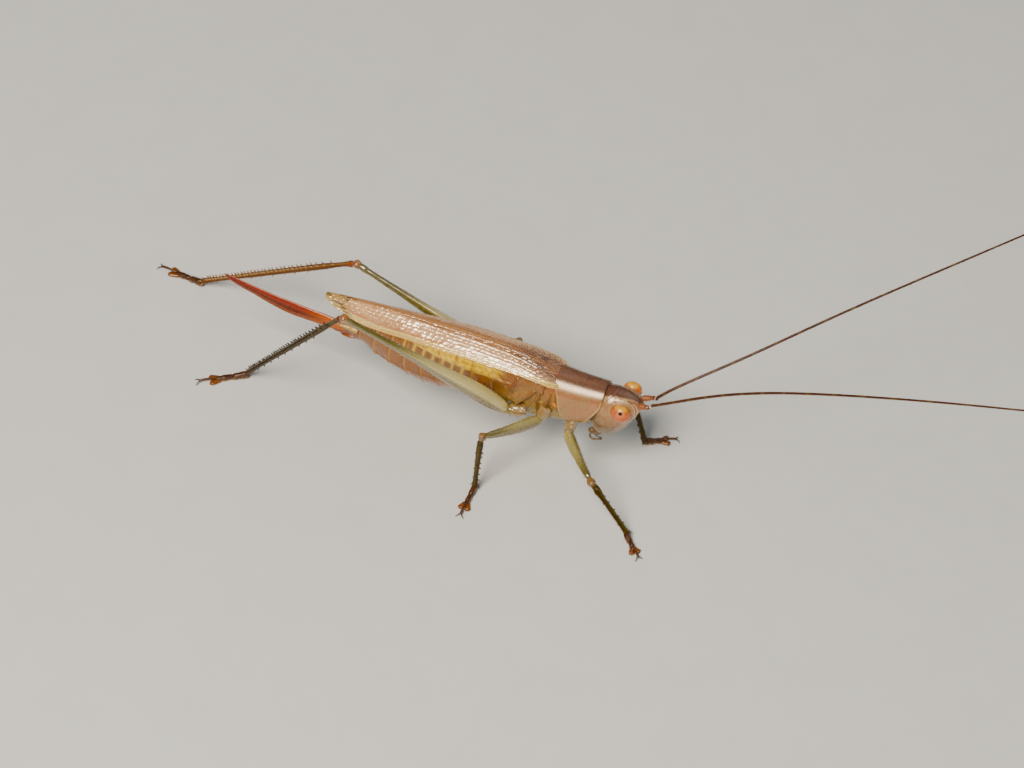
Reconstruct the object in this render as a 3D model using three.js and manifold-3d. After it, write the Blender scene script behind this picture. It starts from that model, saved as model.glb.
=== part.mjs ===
// Long-horned grasshopper: a female meadow katydid at life size, standing with its legs spread.
// Millimetres. The head points along +X, the left side is +Y, and the feet rest on Z = 0.
import * as THREE from 'three';
import { mergeVertices } from 'three/addons/utils/BufferGeometryUtils.js';
import Module from 'manifold-3d';

const manifold = await Module();
manifold.setup();

// Driving dimensions
const gap = 0.04;               // clearance between neighbouring pieces
const rideHeight = 5.19;        // body datum above the feet
const bodyRoll = -0.071;        // radians, the left side a little lower
const bodyPitch = 0.022;        // radians, the head a little lower
const wingSpans = 7;            // facets across a folded wing
const feeler = 0.5;             // thickness of legs, feelers and wings at their finest
const toeHeight = 0.5;          // height of a foot, flat underneath
const ankleHeight = 0.44;

const eye = { x: 3.4, y: 1.0, z: 0.6, length: 0.52, width: 0.42, height: 0.54 };
const pronotum = {
  front: 2.26, rear: -0.6, frontHalf: 1.1, rearHalf: 1.22, wall: 0.34,
  top: 1.22, fall: 0.1, waist: 0.05,       // crown height, its fall to the rear and its dip
  lobe: -1.12,                             // lowest edge, which rises towards both margins
  frontShare: 0.42, frontRise: 1.75, frontPower: 2.2, rearShare: 0.28, rearRise: 1.35, rearPower: 2,
  sidePower: 0.62, crownPower: 0.5,        // squareness of the arch
};
const tegmen = { root: -0.65, tip: -14.35, thickness: 0.5 };
const coxa = { hind: 0.78, other: 0.68, taper: 0.16, lean: 0.12, inward: 0.45, overlap: 0.1 };
const tarsusShape = { heel: 1.14, arch: 0.04, width: 0.95, lobes: 0.25, lobeAt: 0.6, lobeSpread: 0.14 };
const antennaLength = 42;
const lengthsPerAntenna = 3;

// Outlines of the trunk: x, crown, belly, half width
const headStations = [
  [1.5, 0.75, -1.72, 0.84], [1.9, 1.0, -2.02, 1.04], [2.3, 1.22, -2.06, 1.13],
  [2.75, 1.31, -1.66, 1.15], [3.2, 1.34, -1.16, 1.1], [3.65, 1.34, -0.5, 0.94],
  [4.05, 1.32, 0.12, 0.68], [4.4, 1.3, 0.62, 0.4], [4.58, 1.27, 0.95, 0.2],
];
const prothoraxStations = [
  [1.42, 0.72, -1.5, 0.7], [0.7, 0.8, -1.95, 0.82], [-0.2, 0.8, -2.05, 0.82], [-0.56, 0.6, -2.05, 0.8],
];
const thoraxStations = [
  [-0.62, 0.6, -2.05, 0.98], [-1.2, 0.86, -2.22, 1.18], [-2.6, 1.16, -2.28, 1.28], [-4.0, 1.24, -2.16, 1.28],
];
const abdomenStations = [
  [-4.06, 1.24, -2.16, 1.28], [-6.2, 1.26, -2.42, 1.38], [-8.2, 1.16, -2.52, 1.36],
  [-9.6, 0.96, -2.28, 1.22], [-11.0, 0.6, -1.78, 0.88], [-11.9, 0.3, -1.44, 0.62],
];
const tipStations = [
  [-11.96, 0.28, -1.42, 0.6], [-12.5, 0.05, -1.5, 0.48], [-12.9, -0.25, -1.42, 0.34],
];
const mouthStations = [
  [1.72, -1.6, -2.2, 0.4], [2.1, -1.5, -2.3, 0.58], [2.5, -1.4, -2.14, 0.5], [2.72, -1.5, -1.92, 0.3],
];
// Outlines of the ovipositor, a curved sword: x, upper edge, lower edge, width
const bladeStations = [
  [-12.95, -0.82, -1.48, 0.44], [-14.0, -0.64, -1.47, 0.42], [-15.2, -0.58, -1.49, 0.42],
  [-16.3, -0.49, -1.5, 0.42], [-17.4, -0.42, -1.27, 0.4], [-18.45, -0.3, -0.95, 0.36],
  [-19.0, -0.24, -0.81, 0.33], [-19.55, -0.18, -0.64, 0.28], [-20.0, -0.13, -0.42, 0.2],
  [-20.3, -0.08, -0.16, 0.12],
];
// Outlines of a folded wing: x, ridge height, crease y, crease z, lower edge y, lower edge z
const tegmenStations = [
  [tegmen.root, 1.14, 0.7, 1.04, 1.2, 0.74], [-1.5, 1.4, 0.57, 1.33, 1.25, 0.9],
  [-2.6, 1.58, 0.47, 1.52, 1.28, 0.96], [-5.1, 1.67, 0.4, 1.61, 1.31, 0.95],
  [-6.5, 1.66, 0.37, 1.6, 1.28, 0.88], [-8.0, 1.59, 0.33, 1.53, 1.2, 0.74],
  [-9.5, 1.54, 0.28, 1.48, 1.06, 0.58], [-10.5, 1.5, 0.23, 1.44, 0.95, 0.44],
  [-11.7, 1.42, 0.17, 1.36, 0.81, 0.34], [-12.76, 1.32, 0.12, 1.26, 0.62, 0.36],
  [-13.6, 1.22, 0.09, 1.16, 0.42, 0.52], [tegmen.tip, 1.0, 0.05, 0.96, 0.2, 0.72],
];

// Legs: hip in the body's frame, height of the coxa above it; knee, ankle and toe above the floor
const legs = [
  { name: 'front_right', hip: [0.66, -1.06, -2.0], coxaRise: 0.8,
    knee: [3.02, -3.72, 2.71], ankle: [5.47, -4.39], toe: [6.67, -5.68] },
  { name: 'front_left', hip: [0.66, 1.06, -2.0], coxaRise: 0.8,
    knee: [3.12, 2.55, 3.7], ankle: [4.1, 2.3], toe: [5.82, 3.32] },
  { name: 'middle_right', hip: [-0.82, -1.3, -1.66], coxaRise: 0.55,
    knee: [-3.3, -4.34, 4.29], ankle: [-3.38, -4.55], toe: [-3.42, -6.83] },
  { name: 'middle_left', hip: [-0.82, 1.3, -1.66], coxaRise: 0.55,
    knee: [-4.07, 3.42, 3.81], ankle: [-5.35, 4.6], toe: [-6.5, 6.2] },
  { name: 'hind_right', hip: [-2.8, -1.42, -1.6], coxaRise: 0.55,
    knee: [-11.74, -4.22, 10.11], ankle: [-17.99, -2.05], toe: [-20.5, -3.66] },
  { name: 'hind_left', hip: [-2.8, 1.42, -1.6], coxaRise: 0.55,
    knee: [-13.7, 2.84, 6.49], ankle: [-23.02, 3.24], toe: [-25.9, 3.56] },
];
// Femur section, along its length: fraction, depth, width
const slimFemur = [
  [0, 0.5, 0.5], [0.12, 0.66, 0.56], [0.5, 0.62, 0.54], [0.85, 0.5, 0.5], [1, 0.5, 0.5],
];
const jumpingFemur = [
  [0, 0.62, 0.54], [0.07, 1.14, 0.72], [0.2, 1.34, 0.84], [0.38, 1.04, 0.68], [0.6, 0.66, 0.56],
  [0.78, 0.5, 0.5], [0.95, 0.5, 0.5], [1, 0.52, 0.5],
];

const colours = {
  shell: 0xb98d78, stripe: 0x4a2a26, eye: 0xe08a55, wing: 0xcaa08e, flesh: 0xc08a4a,
  leg: 0xa39c6c, shin: 0x5c4a26, foot: 0x6b3d1e, feeler: 0x6e3420, blade: 0x8a3415,
};

// Smooth value between rows of a station table, whose first column runs steadily
function sample(rows, at) {
  const order = Math.sign(rows[rows.length - 1][0] - rows[0][0]);
  let i = 0;
  while (i < rows.length - 2 && (at - rows[i + 1][0]) * order > 0) i++;
  const [a, b] = [rows[i], rows[i + 1]];
  const before = rows[Math.max(i - 1, 0)];
  const after = rows[Math.min(i + 2, rows.length - 1)];
  const t = THREE.MathUtils.clamp((at - a[0]) / (b[0] - a[0]), 0, 1);
  return a.slice(1).map((_, k) => {
    const c = k + 1;
    const step = b[0] - a[0];
    const slopeA = (b[c] - before[c]) / (b[0] - before[0]);
    const slopeB = (after[c] - a[c]) / (after[0] - a[0]);
    return a[c] * (1 + 2 * t) * (1 - t) ** 2 + b[c] * t * t * (3 - 2 * t)
      + slopeA * step * t * (1 - t) ** 2 + slopeB * step * t * t * (t - 1);
  });
}

// How far the first and last rings of a grown piece move along it
function endShift(i, steps, grow) {
  if (i === 0) return grow;
  return i === steps ? -grow : 0;
}

// A closed solid over rings of points. Each end is closed by a fan about its middle or, on a
// folded ring that runs out along one wall and back along the other, by a strip between the walls.
function loft(rings, folded = false) {
  const around = rings[0].length;
  const points = rings.flat();
  const faces = [];
  for (let i = 0; i < rings.length - 1; i++) {
    for (let j = 0; j < around; j++) {
      const a = i * around + j;
      const b = i * around + (j + 1) % around;
      faces.push([a, b, b + around], [a, b + around, a + around]);
    }
  }
  const lastRing = (rings.length - 1) * around;
  if (folded) {
    for (let j = 0; j < around / 2 - 1; j++) {
      const [a, b, c, d] = [j, j + 1, around - 2 - j, around - 1 - j];
      faces.push([a, c, b], [a, d, c]);
      faces.push([a, b, c], [a, c, d]);
      for (const face of faces.slice(-2)) face.forEach((p, k) => { face[k] = p + lastRing; });
    }
  } else {
    const middle = (ring) => ring.reduce((sum, p) => sum.clone().add(p)).divideScalar(ring.length);
    const first = points.push(middle(rings[0])) - 1;
    const last = points.push(middle(rings[rings.length - 1])) - 1;
    for (let j = 0; j < around; j++) {
      const next = (j + 1) % around;
      faces.push([first, next, j], [last, lastRing + j, lastRing + next]);
    }
  }
  let volume = 0;
  for (const [a, b, c] of faces) volume += points[a].dot(points[b].clone().cross(points[c]));
  if (volume < 0) faces.forEach((face) => face.reverse());
  const geometry = new THREE.BufferGeometry();
  geometry.setAttribute('position', new THREE.Float32BufferAttribute(points.flatMap((p) => p.toArray()), 3));
  geometry.setIndex(faces.flat());
  return geometry;
}

// A trunk piece along X: superellipse rings between crown and belly
function trunk(rows, { steps = 12, around = 20, grow = 0, power = 0.9, belly = power } = {}) {
  const start = rows[0][0];
  const end = rows[rows.length - 1][0];
  const rings = [];
  for (let i = 0; i <= steps; i++) {
    const x = THREE.MathUtils.lerp(start, end, i / steps);
    const [top, bottom, half] = sample(rows, x);
    const outward = Math.sign(start - end) * endShift(i, steps, grow);
    const middle = (top + bottom) / 2;
    const ring = [];
    for (let j = 0; j < around; j++) {
      const angle = j / around * Math.PI * 2;
      const [c, s] = [Math.cos(angle), Math.sin(angle)];
      const y = (half + grow) * Math.sign(c) * Math.abs(c) ** power;
      const rise = ((top - bottom) / 2 + grow) * Math.sign(s) * Math.abs(s) ** (s > 0 ? power : belly);
      ring.push(new THREE.Vector3(x + outward, y, middle + rise));
    }
    rings.push(ring);
  }
  return loft(rings);
}

// A round or oval limb along a path: section(t) gives depth and width, up sets the depth direction
function limb(path, section, up, { steps = 8, around = 8, grow = 0, level = null } = {}) {
  const rings = [];
  for (let i = 0; i <= steps; i++) {
    const t = i / steps;
    const centre = path(t);
    const along = path(Math.min(t + 0.01, 1)).sub(path(Math.max(t - 0.01, 0))).normalize();
    const across = new THREE.Vector3().crossVectors(along, up).normalize();
    const rise = new THREE.Vector3().crossVectors(across, along);
    const [depth, width] = section(t);
    if (i === 0) centre.addScaledVector(along, -grow);
    if (i === steps) centre.addScaledVector(along, grow);
    const ring = [];
    for (let j = 0; j < around; j++) {
      const angle = (j + 0.5) / around * Math.PI * 2;
      const point = centre.clone()
        .addScaledVector(across, Math.cos(angle) * (width / 2 + grow))
        .addScaledVector(rise, Math.sin(angle) * (depth / 2 + grow));
      if (level !== null) point.z = Math.max(point.z, level);
      ring.push(point);
    }
    rings.push(ring);
  }
  return loft(rings);
}

const straight = (from, to) => (t) => from.clone().lerp(to, t);

// Boolean work on closed meshes
function solid(geometry) {
  const bare = geometry.clone();
  bare.deleteAttribute('normal');
  bare.deleteAttribute('uv');
  const merged = mergeVertices(bare, 1e-5);
  const mesh = new manifold.Mesh({
    numProp: 3,
    vertProperties: new Float32Array(merged.attributes.position.array),
    triVerts: new Uint32Array(merged.index.array),
  });
  return new manifold.Manifold(mesh);
}

// The geometry with each cutter taken away; a stray sliver is dropped
function carve(geometry, cutters) {
  let result = solid(geometry);
  for (const cutter of cutters) result = result.subtract(solid(cutter));
  const pieces = result.decompose().sort((a, b) => b.volume() - a.volume());
  const mesh = pieces[0].getMesh();
  const carved = new THREE.BufferGeometry();
  carved.setAttribute('position', new THREE.Float32BufferAttribute(mesh.vertProperties, 3));
  carved.setIndex(Array.from(mesh.triVerts));
  return carved;
}

const root = new THREE.Group();
const body = new THREE.Group();
body.rotation.set(bodyRoll, bodyPitch, 0);
body.position.z = rideHeight;
root.add(body);
body.updateMatrixWorld(true);
const stance = body.matrixWorld.clone();
const onFloor = (geometry) => geometry.clone().applyMatrix4(stance);
const vector = (x, y, z) => new THREE.Vector3(x, y, z);

function add(group, name, geometry, colour, roughness = 0.4) {
  geometry.computeVertexNormals();
  const mesh = new THREE.Mesh(geometry, new THREE.MeshStandardMaterial({ color: colour, roughness }));
  mesh.name = name;
  group.add(mesh);
  return mesh;
}

const sides = [['right', -1], ['left', 1]];

// Saddle of the pronotum: an arch whose side lobes hang lowest at their middle
function pronotumSolid(grow = 0) {
  const steps = 9;
  const around = 12;
  const rings = [];
  for (let i = 0; i <= steps; i++) {
    const t = i / steps;
    const x = THREE.MathUtils.lerp(pronotum.front, pronotum.rear, t) + endShift(i, steps, grow);
    const toFront = Math.max(0, 1 - t / pronotum.frontShare);
    const toRear = Math.max(0, 1 - (1 - t) / pronotum.rearShare);
    const riseFront = pronotum.frontRise * toFront ** pronotum.frontPower;
    const riseRear = pronotum.rearRise * toRear ** pronotum.rearPower;
    const low = pronotum.lobe + riseFront + riseRear - grow;
    const crown = pronotum.top - pronotum.fall * t - pronotum.waist * Math.sin(t * Math.PI);
    const half = THREE.MathUtils.lerp(pronotum.frontHalf, pronotum.rearHalf, t);
    const arch = (inset) => {
      const points = [];
      for (let j = 0; j <= around; j++) {
        const angle = Math.PI * j / around;
        const across = Math.sign(Math.cos(angle)) * Math.abs(Math.cos(angle)) ** pronotum.sidePower;
        const y = (half - inset) * across;
        const z = low + (crown - inset - low) * Math.sin(angle) ** pronotum.crownPower;
        points.push(vector(x, y, z));
      }
      return points;
    };
    const inner = arch(pronotum.wall + grow);
    rings.push([...arch(-grow), ...inner.reverse()]);
  }
  return loft(rings, true);
}

// One folded wing: a flat upper field to the crease and a sloping side field below it
function tegmenSolid(side, grow = 0) {
  const steps = 11;
  const rings = [];
  for (let i = 0; i <= steps; i++) {
    const x = THREE.MathUtils.lerp(tegmen.root, tegmen.tip, i / steps) + endShift(i, steps, grow);
    const [ridge, creaseY, creaseZ, lowY, lowZ] = sample(tegmenStations, x);
    const inner = gap / 2 - grow * 0.4;
    const curve = new THREE.CatmullRomCurve3([
      vector(x, inner, ridge), vector(x, (inner + creaseY) / 2, (ridge + creaseZ) / 2 + 0.02),
      vector(x, creaseY, creaseZ), vector(x, (creaseY + lowY) / 2 + 0.09, (creaseZ + lowZ) / 2 + 0.05),
      vector(x, lowY, lowZ)]);
    const outer = curve.getPoints(wingSpans);
    const thickness = Math.min(tegmen.thickness, Math.max(0.2, lowY)) + grow;
    const under = outer.map((p, j) => {
      const lean = j / wingSpans * 0.75;
      const y = Math.max(inner, p.y - thickness * Math.sin(lean));
      return vector(x, y, p.z - thickness * Math.cos(lean));
    });
    const over = outer.map((p) => vector(x, p.y + grow * 0.7, p.z + grow));
    const ring = [...over, ...under.reverse()];
    rings.push(ring.map((p) => vector(p.x, p.y * side, p.z)));
  }
  return loft(rings, true);
}

// The trunk
const eyeGeometry = (side, grow = 0) => new THREE.SphereGeometry(1, 12, 8)
  .scale(eye.length + grow, eye.width + grow, eye.height + grow)
  .translate(eye.x, eye.y * side, eye.z);
const scapeEnds = (side) => [vector(4.3, 0.3 * side, 0.98), vector(4.98, 0.44 * side, 1.24)];
const scapeGeometry = (side) => {
  const [from, to] = scapeEnds(side);
  return limb(straight(from, to), () => [feeler, feeler], vector(0, 0, 1), { steps: 3 });
};
const headOptions = { steps: 11, around: 17, power: 0.86 };
const headGeometry = (grow) => trunk(headStations, { ...headOptions, grow });
const palpPath = (side) => new THREE.QuadraticBezierCurve3(
  vector(1.7, 0.5 * side, -1.95), vector(1.62, 0.8 * side, -2.4), vector(2.4, 0.78 * side, -2.5));

const proneck = pronotumSolid(gap);
const bothEyes = sides.map(([, side]) => eyeGeometry(side, gap));
add(body, 'head', carve(headGeometry(0), [proneck, ...bothEyes]), colours.shell);
const mouthGeometry = (grow) => trunk(mouthStations, { steps: 5, around: 12, grow });
add(body, 'mouthparts', carve(mouthGeometry(0), [headGeometry(gap)]), colours.flesh);
for (const [label, side] of sides) {
  add(body, `eye_${label}`, eyeGeometry(side), colours.eye, 0.2);
  add(body, `antenna_base_${label}`, carve(scapeGeometry(side), [headGeometry(gap)]), colours.feeler);
  const alongPalp = (t) => palpPath(side).getPoint(t);
  const palp = limb(alongPalp, () => [feeler, feeler], vector(1, 0, 0), { steps: 5, around: 7 });
  add(body, `palp_${label}`, carve(palp, [headGeometry(gap), mouthGeometry(gap)]), colours.leg);
}
add(body, 'pronotum', pronotumSolid(), colours.stripe, 0.25);
const trunkOptions = { steps: 5, around: 15, power: 0.8 };
const prothorax = trunk(prothoraxStations, trunkOptions);
add(body, 'prothorax', carve(prothorax, [proneck]), colours.flesh);
const wingCutters = sides.map(([, side]) => tegmenSolid(side, gap));
const pterothorax = trunk(thoraxStations, trunkOptions);
add(body, 'thorax', carve(pterothorax, [proneck, ...wingCutters]), colours.flesh);
const abdomen = trunk(abdomenStations, { steps: 11, around: 15, power: 0.86 });
add(body, 'abdomen', carve(abdomen, wingCutters), colours.flesh);
const abdomenTip = (grow) => trunk(tipStations, { steps: 5, around: 14, grow, power: 0.95 });
add(body, 'abdomen_tip', abdomenTip(0), colours.flesh);
for (const [label, side] of sides) {
  add(body, `tegmen_${label}`, tegmenSolid(side), colours.wing, 0.3);
}

// Cerci and ovipositor
const bladeAt = (t) => {
  const x = THREE.MathUtils.lerp(bladeStations[0][0], bladeStations.at(-1)[0], t);
  const [upper, lower, width] = sample(bladeStations, x);
  return { x, middle: (upper + lower) / 2, depth: upper - lower, width };
};
const bladePath = (t) => vector(bladeAt(t).x, 0, bladeAt(t).middle);
const bladeSection = (t) => [bladeAt(t).depth, bladeAt(t).width];
const bladeOptions = { steps: 11, around: 10 };
const bladeGeometry = (grow) => limb(bladePath, bladeSection, vector(0, 0, 1), { ...bladeOptions, grow });
add(body, 'ovipositor', carve(bladeGeometry(0), [abdomenTip(gap)]), colours.blade, 0.25);
for (const [label, side] of sides) {
  const from = vector(-12.45, 0.42 * side, -0.5);
  const to = vector(-13.35, 0.56 * side, -0.42);
  const cercus = limb(straight(from, to), (t) => [0.44 * (1 - t * 0.5), 0.44 * (1 - t * 0.5)],
    vector(0, 0, 1), { steps: 4, around: 7 });
  add(body, `cercus_${label}`, carve(cercus, [abdomenTip(gap), bladeGeometry(gap)]), colours.flesh);
}

// Legs: coxae hang from the trunk, the other lengths run from hip to knee, ankle and toe
const trunkCutters = [
  trunk(prothoraxStations, { ...trunkOptions, grow: gap }),
  trunk(thoraxStations, { ...trunkOptions, grow: gap }),
  trunk(abdomenStations, { steps: 12, around: 16, power: 0.92, grow: gap }),
  headGeometry(gap), proneck, mouthGeometry(gap),
].map(onFloor);

for (const leg of legs) {
  const hind = leg.name.startsWith('hind');
  const hip = vector(...leg.hip).applyMatrix4(stance);
  const knee = vector(...leg.knee);
  const ankle = vector(...leg.ankle, ankleHeight);
  const toe = vector(...leg.toe, toeHeight / 2);
  const thigh = knee.clone().sub(hip);
  const shin = ankle.clone().sub(knee);
  const bendUp = thigh.clone().normalize().sub(shin.clone().normalize());
  const side = Math.sign(leg.hip[1]);

  const [hipX, hipY, hipZ] = leg.hip;
  const coxaFrom = vector(hipX + coxa.lean, hipY - coxa.inward * side, hipZ + leg.coxaRise)
    .applyMatrix4(stance);
  const coxaTo = hip.clone().addScaledVector(thigh.clone().normalize(), coxa.overlap);
  const coxaSize = hind ? coxa.hind : coxa.other;
  const coxaSection = (t) => [coxaSize - coxa.taper * t, coxaSize - coxa.taper * t];
  const hipJoint = (grow) => limb(straight(coxaFrom, coxaTo), coxaSection, vector(1, 0, 0),
    { steps: 4, around: 8, grow });
  const femurRows = hind ? jumpingFemur : slimFemur;
  const femur = (grow) => limb(straight(hip, knee), (t) => sample(femurRows, t), bendUp,
    { steps: hind ? 11 : 6, around: hind ? 10 : 8, grow });
  const tibia = limb(straight(knee, ankle), () => [feeler, feeler], bendUp, { steps: 3, around: 8 });
  const tarsusFrom = vector(ankle.x, ankle.y, toeHeight / 2);
  const tarsusSection = (t) => [
    toeHeight * (tarsusShape.heel + tarsusShape.arch * Math.sin(t * Math.PI)),
    feeler * (tarsusShape.width
      + tarsusShape.lobes * Math.exp(-(((t - tarsusShape.lobeAt) / tarsusShape.lobeSpread) ** 2))),
  ];
  const tarsus = (grow) => limb(straight(tarsusFrom, toe), tarsusSection, vector(0, 0, 1),
    { steps: 6, around: 8, grow, level: -grow });

  add(root, `coxa_${leg.name}`, carve(hipJoint(0), trunkCutters), colours.flesh);
  add(root, `femur_${leg.name}`, carve(femur(0), [hipJoint(gap), ...trunkCutters]), colours.leg);
  add(root, `tibia_${leg.name}`, carve(tibia, [femur(gap), tarsus(gap)]), colours.shin);
  add(root, `tarsus_${leg.name}`, tarsus(0), colours.foot);
}

// Antennae: one nearly straight, the other swinging up from the head before it levels out
const antennaPaths = {
  left: (s) => vector(0.742, 0.604, 0.376).multiplyScalar(s).add(vector(0, 0, -0.0018 * s * s)),
  right: (s) => vector(0.869, -0.185, 0.47).multiplyScalar(s)
    .add(vector(-0.54, 1.73, 1.04).multiplyScalar(1 - Math.exp(-s / 6))),
};
for (const [label, side] of sides) {
  const [, end] = scapeEnds(side);
  const start = end.clone().applyMatrix4(stance);
  const first = antennaPaths[label](0.01).normalize();
  start.addScaledVector(first, gap);
  for (let k = 0; k < lengthsPerAntenna; k++) {
    const from = antennaLength * k / lengthsPerAntenna + (k ? gap / 2 : 0);
    const to = antennaLength * (k + 1) / lengthsPerAntenna - gap / 2;
    const path = (t) => antennaPaths[label](THREE.MathUtils.lerp(from, to, t)).add(start);
    const piece = limb(path, () => [feeler, feeler], vector(0, 0, 1), { steps: 7, around: 7 });
    add(root, `flagellum_${label}_${k + 1}`, carve(piece, [onFloor(scapeGeometry(side))]), colours.feeler);
  }
}

// The origin: middle of the outline in plan, at floor level
root.updateMatrixWorld(true);
const box = new THREE.Box3().setFromObject(root, true);
root.position.set(-(box.min.x + box.max.x) / 2, -(box.min.y + box.max.y) / 2, 0);

export default root;
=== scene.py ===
import math
import bpy
import numpy as np
from mathutils import Matrix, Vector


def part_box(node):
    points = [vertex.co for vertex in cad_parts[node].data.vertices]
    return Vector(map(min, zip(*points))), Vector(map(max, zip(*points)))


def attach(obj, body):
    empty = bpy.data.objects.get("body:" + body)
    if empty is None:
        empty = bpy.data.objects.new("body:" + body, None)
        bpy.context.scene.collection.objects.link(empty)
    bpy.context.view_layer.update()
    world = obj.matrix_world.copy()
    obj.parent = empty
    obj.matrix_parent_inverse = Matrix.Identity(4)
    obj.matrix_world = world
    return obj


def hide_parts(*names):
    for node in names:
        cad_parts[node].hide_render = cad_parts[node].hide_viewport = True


# Female meadow katydid at life size. Lengths below are in millimetres unless a note says otherwise.
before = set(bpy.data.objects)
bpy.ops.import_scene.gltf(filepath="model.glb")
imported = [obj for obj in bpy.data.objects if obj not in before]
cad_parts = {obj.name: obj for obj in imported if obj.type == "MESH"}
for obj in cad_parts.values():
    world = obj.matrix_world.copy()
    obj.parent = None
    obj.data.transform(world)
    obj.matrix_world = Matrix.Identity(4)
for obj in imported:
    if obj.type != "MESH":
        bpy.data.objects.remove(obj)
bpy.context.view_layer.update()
print("frame loaded:", len(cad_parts), "solids")

mm = 0.001


def toLinear(hexColour):
    # sRGB hex to linear RGBA
    c = np.array([(hexColour >> shift & 255) / 255 for shift in (16, 8, 0)])
    linear = np.where(c <= 0.04045, c / 12.92, ((c + 0.055) / 1.055) ** 2.4)
    return (*linear.tolist(), 1.0)


def unit(v):
    v = np.asarray(v, float)
    return v / np.maximum(np.linalg.norm(v, axis=-1, keepdims=True), 1e-12)


def smoothStep(low, high, x):
    t = np.clip((x - low) / (high - low), 0, 1)
    return t * t * (3 - 2 * t)


def bump(x, centre, width):
    # bell curve of height 1
    return np.exp(-((x - centre) / width) ** 2)


def rows(table, at):
    # smooth values between the rows of a table whose first column is the place
    table = np.array(sorted(table), float)
    place = table[:, 0]
    slopes = np.gradient(table[:, 1:], place, axis=0)
    k = np.clip(np.searchsorted(place, at) - 1, 0, len(place) - 2)
    step = place[k + 1] - place[k]
    t = np.clip((at - place[k]) / step, 0, 1)[..., None]
    step = step[..., None]
    a, b = table[k, 1:], table[k + 1, 1:]
    value = (a * (1 + 2 * t) * (1 - t) ** 2 + b * t * t * (3 - 2 * t)
             + slopes[k] * step * t * (1 - t) ** 2 + slopes[k + 1] * step * t * t * (t - 1))
    return [value[..., c] for c in range(value.shape[-1])]


def scramble(*keys):
    # a repeatable random number from 0 to 1 for each cell number
    total = sum(np.floor(k) * f for k, f in zip(keys, (12.9898, 78.233, 37.719)))
    return np.abs(np.sin(total) * 43758.5453) % 1.0


def waves(points, size, seed, count=7):
    # soft lumps of about that size: a sum of sine waves in random directions
    draw = np.random.default_rng(seed)
    total = 0
    for _ in range(count):
        direction = unit(draw.normal(size=3)) * draw.uniform(0.7, 1.4) * 2 * math.pi / size
        total = total + np.sin(points @ direction + draw.uniform(0, 2 * math.pi))
    return total / math.sqrt(count)


def gridSlopes(points):
    # the two directions of a grid that is closed around
    return np.gradient(points, axis=0), (np.roll(points, -1, axis=1) - np.roll(points, 1, axis=1)) / 2


def gridNormals(points):
    # cross product of the two directions
    along, around = gridSlopes(points)
    return unit(np.cross(around, along))


def outwardNormals(points, middle):
    # the same, turned so that they point away from the middle line or place
    normals = gridNormals(points)
    return normals * np.sign(np.sum(normals * (points - middle), -1).mean())


def turnsAround(count, shift=0.0):
    # evenly spaced angles, once around, as one row
    return ((np.arange(count) + shift) / count * 2 * math.pi)[None]


def signedPower(value, power):
    # squares off a circle where the power is under 1
    return np.sign(value) * np.abs(value) ** power


def buildMesh(name, verts, quads, tris, fields, material):
    # quads and triangles in millimetres to one smooth mesh, with a float attribute for each field
    mesh = bpy.data.meshes.new(name)
    mesh.vertices.add(len(verts))
    mesh.vertices.foreach_set("co", (verts * mm).astype(np.float32).ravel())
    corners = np.concatenate([quads.ravel(), tris.ravel()]).astype(np.int32)
    mesh.loops.add(len(corners))
    mesh.loops.foreach_set("vertex_index", corners)
    sizes = np.concatenate([np.full(len(quads), 4), np.full(len(tris), 3)])
    mesh.polygons.add(len(sizes))
    mesh.polygons.foreach_set("loop_start", np.concatenate([[0], np.cumsum(sizes)[:-1]]).astype(np.int32))
    mesh.polygons.foreach_set("use_smooth", np.ones(len(sizes), bool))
    mesh.update(calc_edges=True)
    for key, value in fields.items():
        attribute = mesh.attributes.new(key, "FLOAT", "POINT")
        attribute.data.foreach_set("value", value.astype(np.float32))
    mesh.materials.append(material)
    return mesh, corners


bothSides = (("left", 1), ("right", -1))
grids = {}  # the first grid of each piece, for the bristles that grow on it


class Shape:
    # gathers closed grids into one mesh; each named field gives one value per point
    def __init__(self):
        self.verts, self.quads, self.tris, self.fields = [], [], [], []
        self.count, self.first = 0, None

    def skin(self, points, **fields):
        # points[i, j] runs i along and j around; a fan closes each end
        n, m = points.shape[:2]
        self.first = points if self.first is None else self.first
        i, j = np.meshgrid(np.arange(n - 1), np.arange(m), indexing="ij")
        k = (j + 1) % m
        quads = np.stack([i * m + j, i * m + k, (i + 1) * m + k, (i + 1) * m + j], -1).reshape(-1, 4)
        verts = np.vstack([points.reshape(-1, 3), points[0].mean(0), points[-1].mean(0)])
        ring, after = np.arange(m), (np.arange(m) + 1) % m
        start, end = np.full(m, n * m), np.full(m, n * m + 1)
        tris = np.vstack([np.stack([start, after, ring], -1),
                          np.stack([end, ring + (n - 1) * m, after + (n - 1) * m], -1)])
        a, b, c, d = (verts[quads[:, s]] - verts.mean(0) for s in range(4))
        volume = np.sum(a * np.cross(b, c)) + np.sum(a * np.cross(c, d))
        if volume < 0:
            quads, tris = quads[:, ::-1], tris[:, ::-1]
        full = {}
        for key, value in fields.items():
            value = np.broadcast_to(value, (n, m))
            full[key] = np.concatenate([value.ravel(), [value[0].mean(), value[-1].mean()]])
        self.verts.append(verts)
        self.quads.append(quads + self.count)
        self.tris.append(tris + self.count)
        self.fields.append((len(verts), full))
        self.count += len(verts)
        return self

    def piece(self, name, material, nodes=(), slotName=None):
        # a grid that lacks one of the fields has 0 for it
        fields = {key: np.concatenate([full.get(key, np.zeros(n)) for n, full in self.fields])
                  for key in sorted({key for _, full in self.fields for key in full})}
        mesh, _ = buildMesh(name, *(np.vstack(part) for part in (self.verts, self.quads, self.tris)),
                            fields, material)
        grids[name] = self.first
        return install(bpy.data.objects.new(name, mesh), nodes)


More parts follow.
